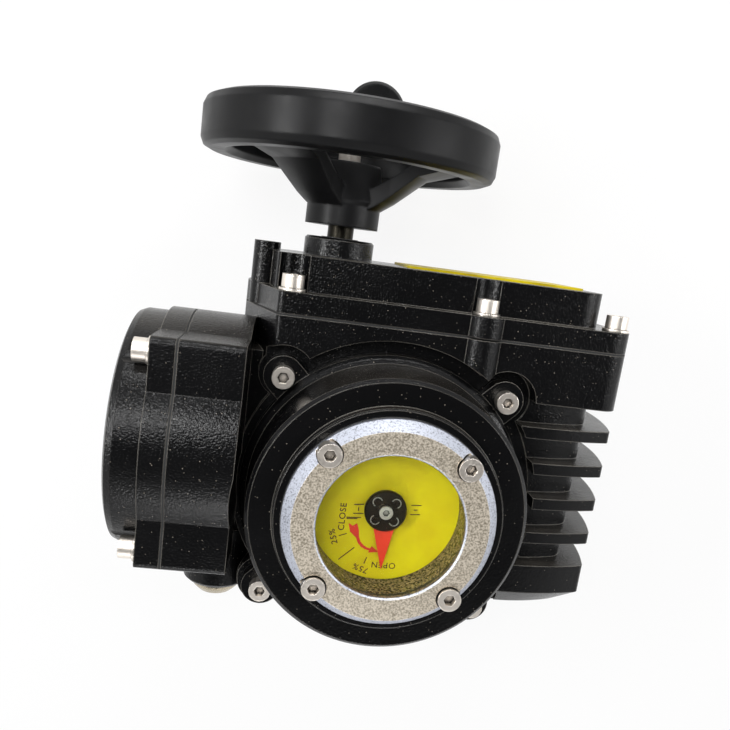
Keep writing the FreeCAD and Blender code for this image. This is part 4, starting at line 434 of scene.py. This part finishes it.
for number, angle in enumerate(POST_ANGLES):
    disc = [on_circle(POST_ORBIT, angle) + on_circle(POST_DISC_R, step) for step in range(0, 360, 20)]
    thin_plate("post_disc_%d" % number, disc, DIAL_TOP, DIAL_TOP + INK_FILM, dial_ink, "housing")

thin_plate("dial_arrow", ARROW_TAIL + ARROW_SHAFT_OUT + ARROW_HEAD + ARROW_SHAFT_IN + ARROW_NOTCH, DIAL_TOP,
           DIAL_TOP + INK_FILM, red_ink, "housing")


# Pointer: sheet steel, cut out, painted signal red and clamped under the hub. Broad and round where it leaves
# the hub, and drawn out to a point over the dial's scale. It turns with the output.

POINTER_L = 28.2
SHANK_R = 6.5        # of the round piece under the hub
SHANK_SWEEP = range(-20, 201, 20)
CLAMPED_AT = 3.7     # degrees, as it was set by eye

pointer_low, pointer_high = (corner.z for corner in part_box("pointer"))
straight = [on_circle(SHANK_R, angle) for angle in SHANK_SWEEP] + [Vector((0.0, -POINTER_L))]
blade = [Matrix.Rotation(math.radians(CLAMPED_AT), 2) @ corner for corner in straight]
pointer_blade = thin_plate("pointer_blade", blade, pointer_low, pointer_high,
                           moulded("signal_red_paint", "F23C1E", 0.4, 0.8, 0.004), "output")
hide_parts("pointer")


# Pointer hub: turned steel, burnished nearly black and screwed to the indicator shaft. Four crescent pockets
# are milled in its top, and bright crescents laid on their rims are a painted highlight.

METAL_CLOUD = 9.0 * MM
METAL_EDGE_R = 0.35 * MM
CRESCENT_ANGLES = (45, 135, 225, 315)
CRESCENT_ORBIT = 5.8
CRESCENT_R = (2.3, 1.8)
CRESCENT_SWEEP = range(-110, 111, 20)
CRESCENT_RIM = 0.02 * MM


def worked_metal(name, colour, roughness, grain_mm, depth_mm, stretch=(1.0, 1.0, 1.0)):
    """Turned, ground, drawn or plated metal. stretch draws its grain out along an axis."""
    material, tree, shader = new_material(name)
    place = add(tree, "TexCoord")["Object"]
    cloud = add(tree, "TexNoise", {"Vector": place, "Scale": 1 / METAL_CLOUD, "Detail": 4.0})["Fac"]
    tones = [(0.3, linear(colour, 0.72)), (0.7, linear(colour))]
    tone = add(tree, "ValToRGB", {"Fac": cloud}, tones)["Color"]
    tree.links.new(tone, shader.inputs["Base Color"])
    shader.inputs["Metallic"].default_value = 1.0
    drawn = add(tree, "Mapping", {"Vector": place, "Scale": stretch})["Vector"]
    grain = add(tree, "TexNoise", {"Vector": drawn, "Scale": 1 / (grain_mm * MM), "Detail": 3.0})["Fac"]
    tones = [(0.25, grey(roughness - 0.07)), (0.75, grey(roughness + 0.1))]
    sheen = add(tree, "ValToRGB", {"Fac": grain}, tones)["Color"]
    tree.links.new(sheen, shader.inputs["Roughness"])
    edge = add(tree, "Bevel", {"Radius": METAL_EDGE_R}, samples=4)["Normal"]
    bump = add(tree, "Bump", {"Height": grain, "Distance": depth_mm * MM, "Strength": 1.0, "Normal": edge})
    tree.links.new(bump["Normal"], shader.inputs["Normal"])
    return material


dress(worked_metal("burnished_hub_steel", "4A4034", 0.3, 0.5, 0.02), "pointer_hub")

hub_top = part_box("pointer_hub")[1].z
# bright crescents on the pocket rims: a painted highlight
highlight_steel = worked_metal("painted_highlight_steel", "E8E4DA", 0.3, 0.5, 0.01)
for number, angle in enumerate(CRESCENT_ANGLES):
    middle = on_circle(CRESCENT_ORBIT, angle)
    outer, inner = ([middle + on_circle(radius, angle + step) for step in CRESCENT_SWEEP]
                    for radius in CRESCENT_R)
    thin_plate("hub_highlight_%d" % number, outer + inner[::-1], hub_top, hub_top + CRESCENT_RIM, highlight_steel,
               "output")


# Shaft work inside: machined alloy steel for gears, sleeve, plates, bearings and the motor's iron, pressed,
# keyed or clipped in place. The worm shaft is ground, and oiled black. The worm wheel, the bushes and the
# earth screw are tin bronze. Tool marks of 0.1 mm or less are drawn at 0.4 mm, and give a soft sheen.

dress(worked_metal("machined_steel", "A9A9A8", 0.3, 0.4, 0.01),
      "dial_posts", "indicator_shaft", "switch_bracket", "bearing_plate", "drive_sleeve", "wheel_key",
      "wheel_clip", "worm_bearings", "bearing_clip", "shaft_gear", "shaft_key", "gear_spacers", "first_gear",
      "second_gear", "gear_axles", "axle_spacers", "motor_pinion", "rotor", "stator", "motor_bearings",
      "motor_plate", "grip_arm", "grip_pin")
dress(worked_metal("oiled_black_shaft", "26241F", 0.34, 0.4, 0.01, (1.0, 6.0, 1.0)), "worm_shaft")
dress(worked_metal("tin_bronze", "C8924C", 0.28, 0.4, 0.01),
      "earth_screw", "upper_bush", "worm_wheel", "lower_bush", "shaft_bush")


# Motor windings: enamelled copper wire, wound in turns round the stator's ends. The enamel gives a warm
# gloss, and the grain is as wide as one wire, drawn out along the turns.

WIRE_D = 0.7

dress(worked_metal("enamelled_copper", "B5643A", 0.35, WIRE_D, 0.08, (1.0, 4.0, 1.0)), "windings")


# Electrical pieces: cams and micro switches under the dial, and a terminal block screwed down in its
# compartment. All are injection-moulded nylon, dull and even to the eye, in white, black and grey.

dress(moulded("white_nylon", "D8D6CE", 0.45, 0.6, 0.02), "open_cam", "close_cam")
dress(moulded("black_switch_nylon", "1E1D1C", 0.4, 0.6, 0.02), "open_switch", "close_switch")
dress(moulded("grey_terminal_nylon", "9A9C8C", 0.5, 0.6, 0.02), "terminal_block")


# Conduit plug: turned brass, nickel plated and screwed into the conduit boss. A warm silver, dulled by
# handling.

dress(worked_metal("nickel_plated_brass", "BDB29C", 0.26, 0.6, 0.01), "conduit_plug")


# Handwheel: die-cast aluminium with a satin black paint, screwed to the worm shaft. It is smooth enough to
# show the lamps as soft bands, and hands have polished it unevenly. Its folding grip is turned from a
# phenolic plastic, a little glossier.

WHEEL_SHEEN = 0.17
WHEEL_EDGE_R = 1.2 * MM
POLISH_MARKS = 14.0 * MM
PAINT_GRAIN = 0.5 * MM     # the real one is finer, and is drawn this coarse to show


def satin_black(name, colour, roughness):
    """Smooth black paint or plastic that hands have polished in patches."""
    material, tree, shader = new_material(name)
    place = add(tree, "TexCoord")["Object"]
    shader.inputs["Base Color"].default_value = linear(colour)
    shader.inputs["Specular IOR Level"].default_value = WHEEL_SHEEN
    marks = add(tree, "TexNoise", {"Vector": place, "Scale": 1 / POLISH_MARKS, "Detail": 6.0})["Fac"]
    tones = [(0.35, grey(roughness - 0.04)), (0.7, grey(roughness + 0.08))]
    polish = add(tree, "ValToRGB", {"Fac": marks}, tones)["Color"]
    tree.links.new(polish, shader.inputs["Roughness"])
    grain = add(tree, "TexNoise", {"Vector": place, "Scale": 1 / PAINT_GRAIN, "Detail": 2.0})["Fac"]
    edge = add(tree, "Bevel", {"Radius": WHEEL_EDGE_R}, samples=4)["Normal"]
    bump = add(tree, "Bump", {"Height": grain, "Distance": 0.012 * MM, "Strength": 1.0, "Normal": edge})
    tree.links.new(bump["Normal"], shader.inputs["Normal"])
    return material


dress(satin_black("satin_black_paint", "0D0D0E", 0.36), "handwheel")
dress(satin_black("black_phenolic", "0E0E0F", 0.27), "grip")


# Camera: where the photograph was taken from, looking down on the dial with the handwheel at the top. Its
# place, direction and lens were fitted to the object's edges. Sensor and lens are in millimetres.

CAMERA_AT = Vector((-49.7, 111.6, 415.4)) * MM
FORWARD = Vector((0.1112, -0.2022, -0.973)).normalized()
ROUGHLY_UP = Vector((-0.1112, 0.9704, -0.2144))
SENSOR_W = 36.0
LENS = 36.04
SHIFT = (-0.0006, 0.0441)
NEAREST_SEEN = 10 * MM

right = FORWARD.cross(ROUGHLY_UP).normalized()
up = right.cross(FORWARD)
camera = bpy.data.objects.new("camera", bpy.data.cameras.new("camera"))
scene.collection.objects.link(camera)
camera.matrix_world = Matrix.Translation(CAMERA_AT) @ Matrix((right, up, -FORWARD)).transposed().to_4x4()
camera.data.sensor_width = SENSOR_W
camera.data.lens = LENS
camera.data.shift_x, camera.data.shift_y = SHIFT
camera.data.clip_start = NEAREST_SEEN
scene.camera = camera
scene.view_settings.view_transform = "Standard"


# Floor and room: a matt white table that shows pure white and keeps the object's soft shadow, in a white
# room with a dark ceiling, which keeps the black coat black where it faces up.

TABLE_HALF = 3.0
TABLE_GAP = 0.5 * MM
TABLE_SHOWN = 0.86      # share of its colour that doesn't darken in a shadow
ROOM_LIGHT = 0.4        # what the room gives the object, where 1 is the white that is seen
WHITE = "FFFFFF"
CEILING = [(0.62, linear(WHITE)), (0.86, linear(WHITE, 0.1))]


def seen_share(tree):
    """1 for rays that show the background itself, in a mirror or through glass too, and 0 for its light."""
    ray = add(tree, "LightPath")
    seen = {0: ray["Is Camera Ray"], 1: ray["Is Glossy Ray"]}
    shown = add(tree, "Math", seen, operation="MAXIMUM")["Value"]
    return add(tree, "Math", {0: shown, 1: ray["Is Transmission Ray"]}, operation="MAXIMUM")["Value"]


def matt_white_table():
    """Matt white laminate, which the eye takes for paper white except in the object's shadow."""
    material, tree, shader = new_material("matt_white_table")
    shader.inputs["Base Color"].default_value = linear(WHITE, 0.9)
    shader.inputs["Roughness"].default_value = 0.9
    white = add(tree, "Emission", {"Color": linear(WHITE), "Strength": 1.0})["Emission"]
    share = add(tree, "Math", {0: seen_share(tree), 1: TABLE_SHOWN}, operation="MULTIPLY")["Value"]
    mixed = add(tree, "MixShader", {0: share, 1: shader.outputs["BSDF"], 2: white})["Shader"]
    tree.links.new(mixed, tree.nodes["Material Output"].inputs["Surface"])
    return material


table_top = bpy.data.meshes.new("table")
corners = [(a * TABLE_HALF, b * TABLE_HALF, 0) for a, b in ((-1, -1), (1, -1), (1, 1), (-1, 1))]
table_top.from_pydata(corners, [], [(0, 1, 2, 3)])
table_top.materials.append(matt_white_table())
table = bpy.data.objects.new("table", table_top)
table.location.z = cad_box[0][2] - TABLE_GAP
scene.collection.objects.link(table)

room = bpy.data.worlds.new("room")
room.use_nodes = True
scene.world = room
height = add(room.node_tree, "SeparateXYZ", {"Vector": add(room.node_tree, "TexCoord")["Generated"]})["Z"]
walls = add(room.node_tree, "ValToRGB", {"Fac": height}, CEILING)["Color"]
shares = {0: seen_share(room.node_tree), 1: 1 - ROOM_LIGHT, 2: ROOM_LIGHT}
strength = add(room.node_tree, "Math", shares, operation="MULTIPLY_ADD")["Value"]
background = room.node_tree.nodes["Background"]
room.node_tree.links.new(walls, background.inputs["Color"])
room.node_tree.links.new(strength, background.inputs["Strength"])


# Lamps: a large one near the camera, and long narrow ones at the sides, which draw the bright lines along
# the round parts. Each row gives place, what it is aimed at and size in millimetres, and power in watts.

LAMPS = [("key", (-260, 330, 950), (0, 20, 60), (240, 240), 2.8),
         ("left_strip", (-640, 150, 560), (0, 60, 60), (420, 60), 3.2),
         ("right_strip", (600, 160, 460), (40, 0, 60), (60, 420), 1.2),
         ("front_strip", (40, -640, 520), (0, 0, 60), (460, 60), 1.6),
         ("back_strip", (0, 640, 420), (0, 0, 60), (520, 50), 2.2)]

for name, place, target, size, power in LAMPS:
    light = bpy.data.lights.new(name, "AREA")
    light.shape = "RECTANGLE"
    light.size, light.size_y = (length * MM for length in size)
    light.energy = power
    lamp = bpy.data.objects.new(name, light)
    scene.collection.objects.link(lamp)
    aim = (Vector(target) - Vector(place)).to_track_quat("-Z", "Y")
    lamp.matrix_world = Matrix.Translation(Vector(place) * MM) @ aim.to_matrix().to_4x4()
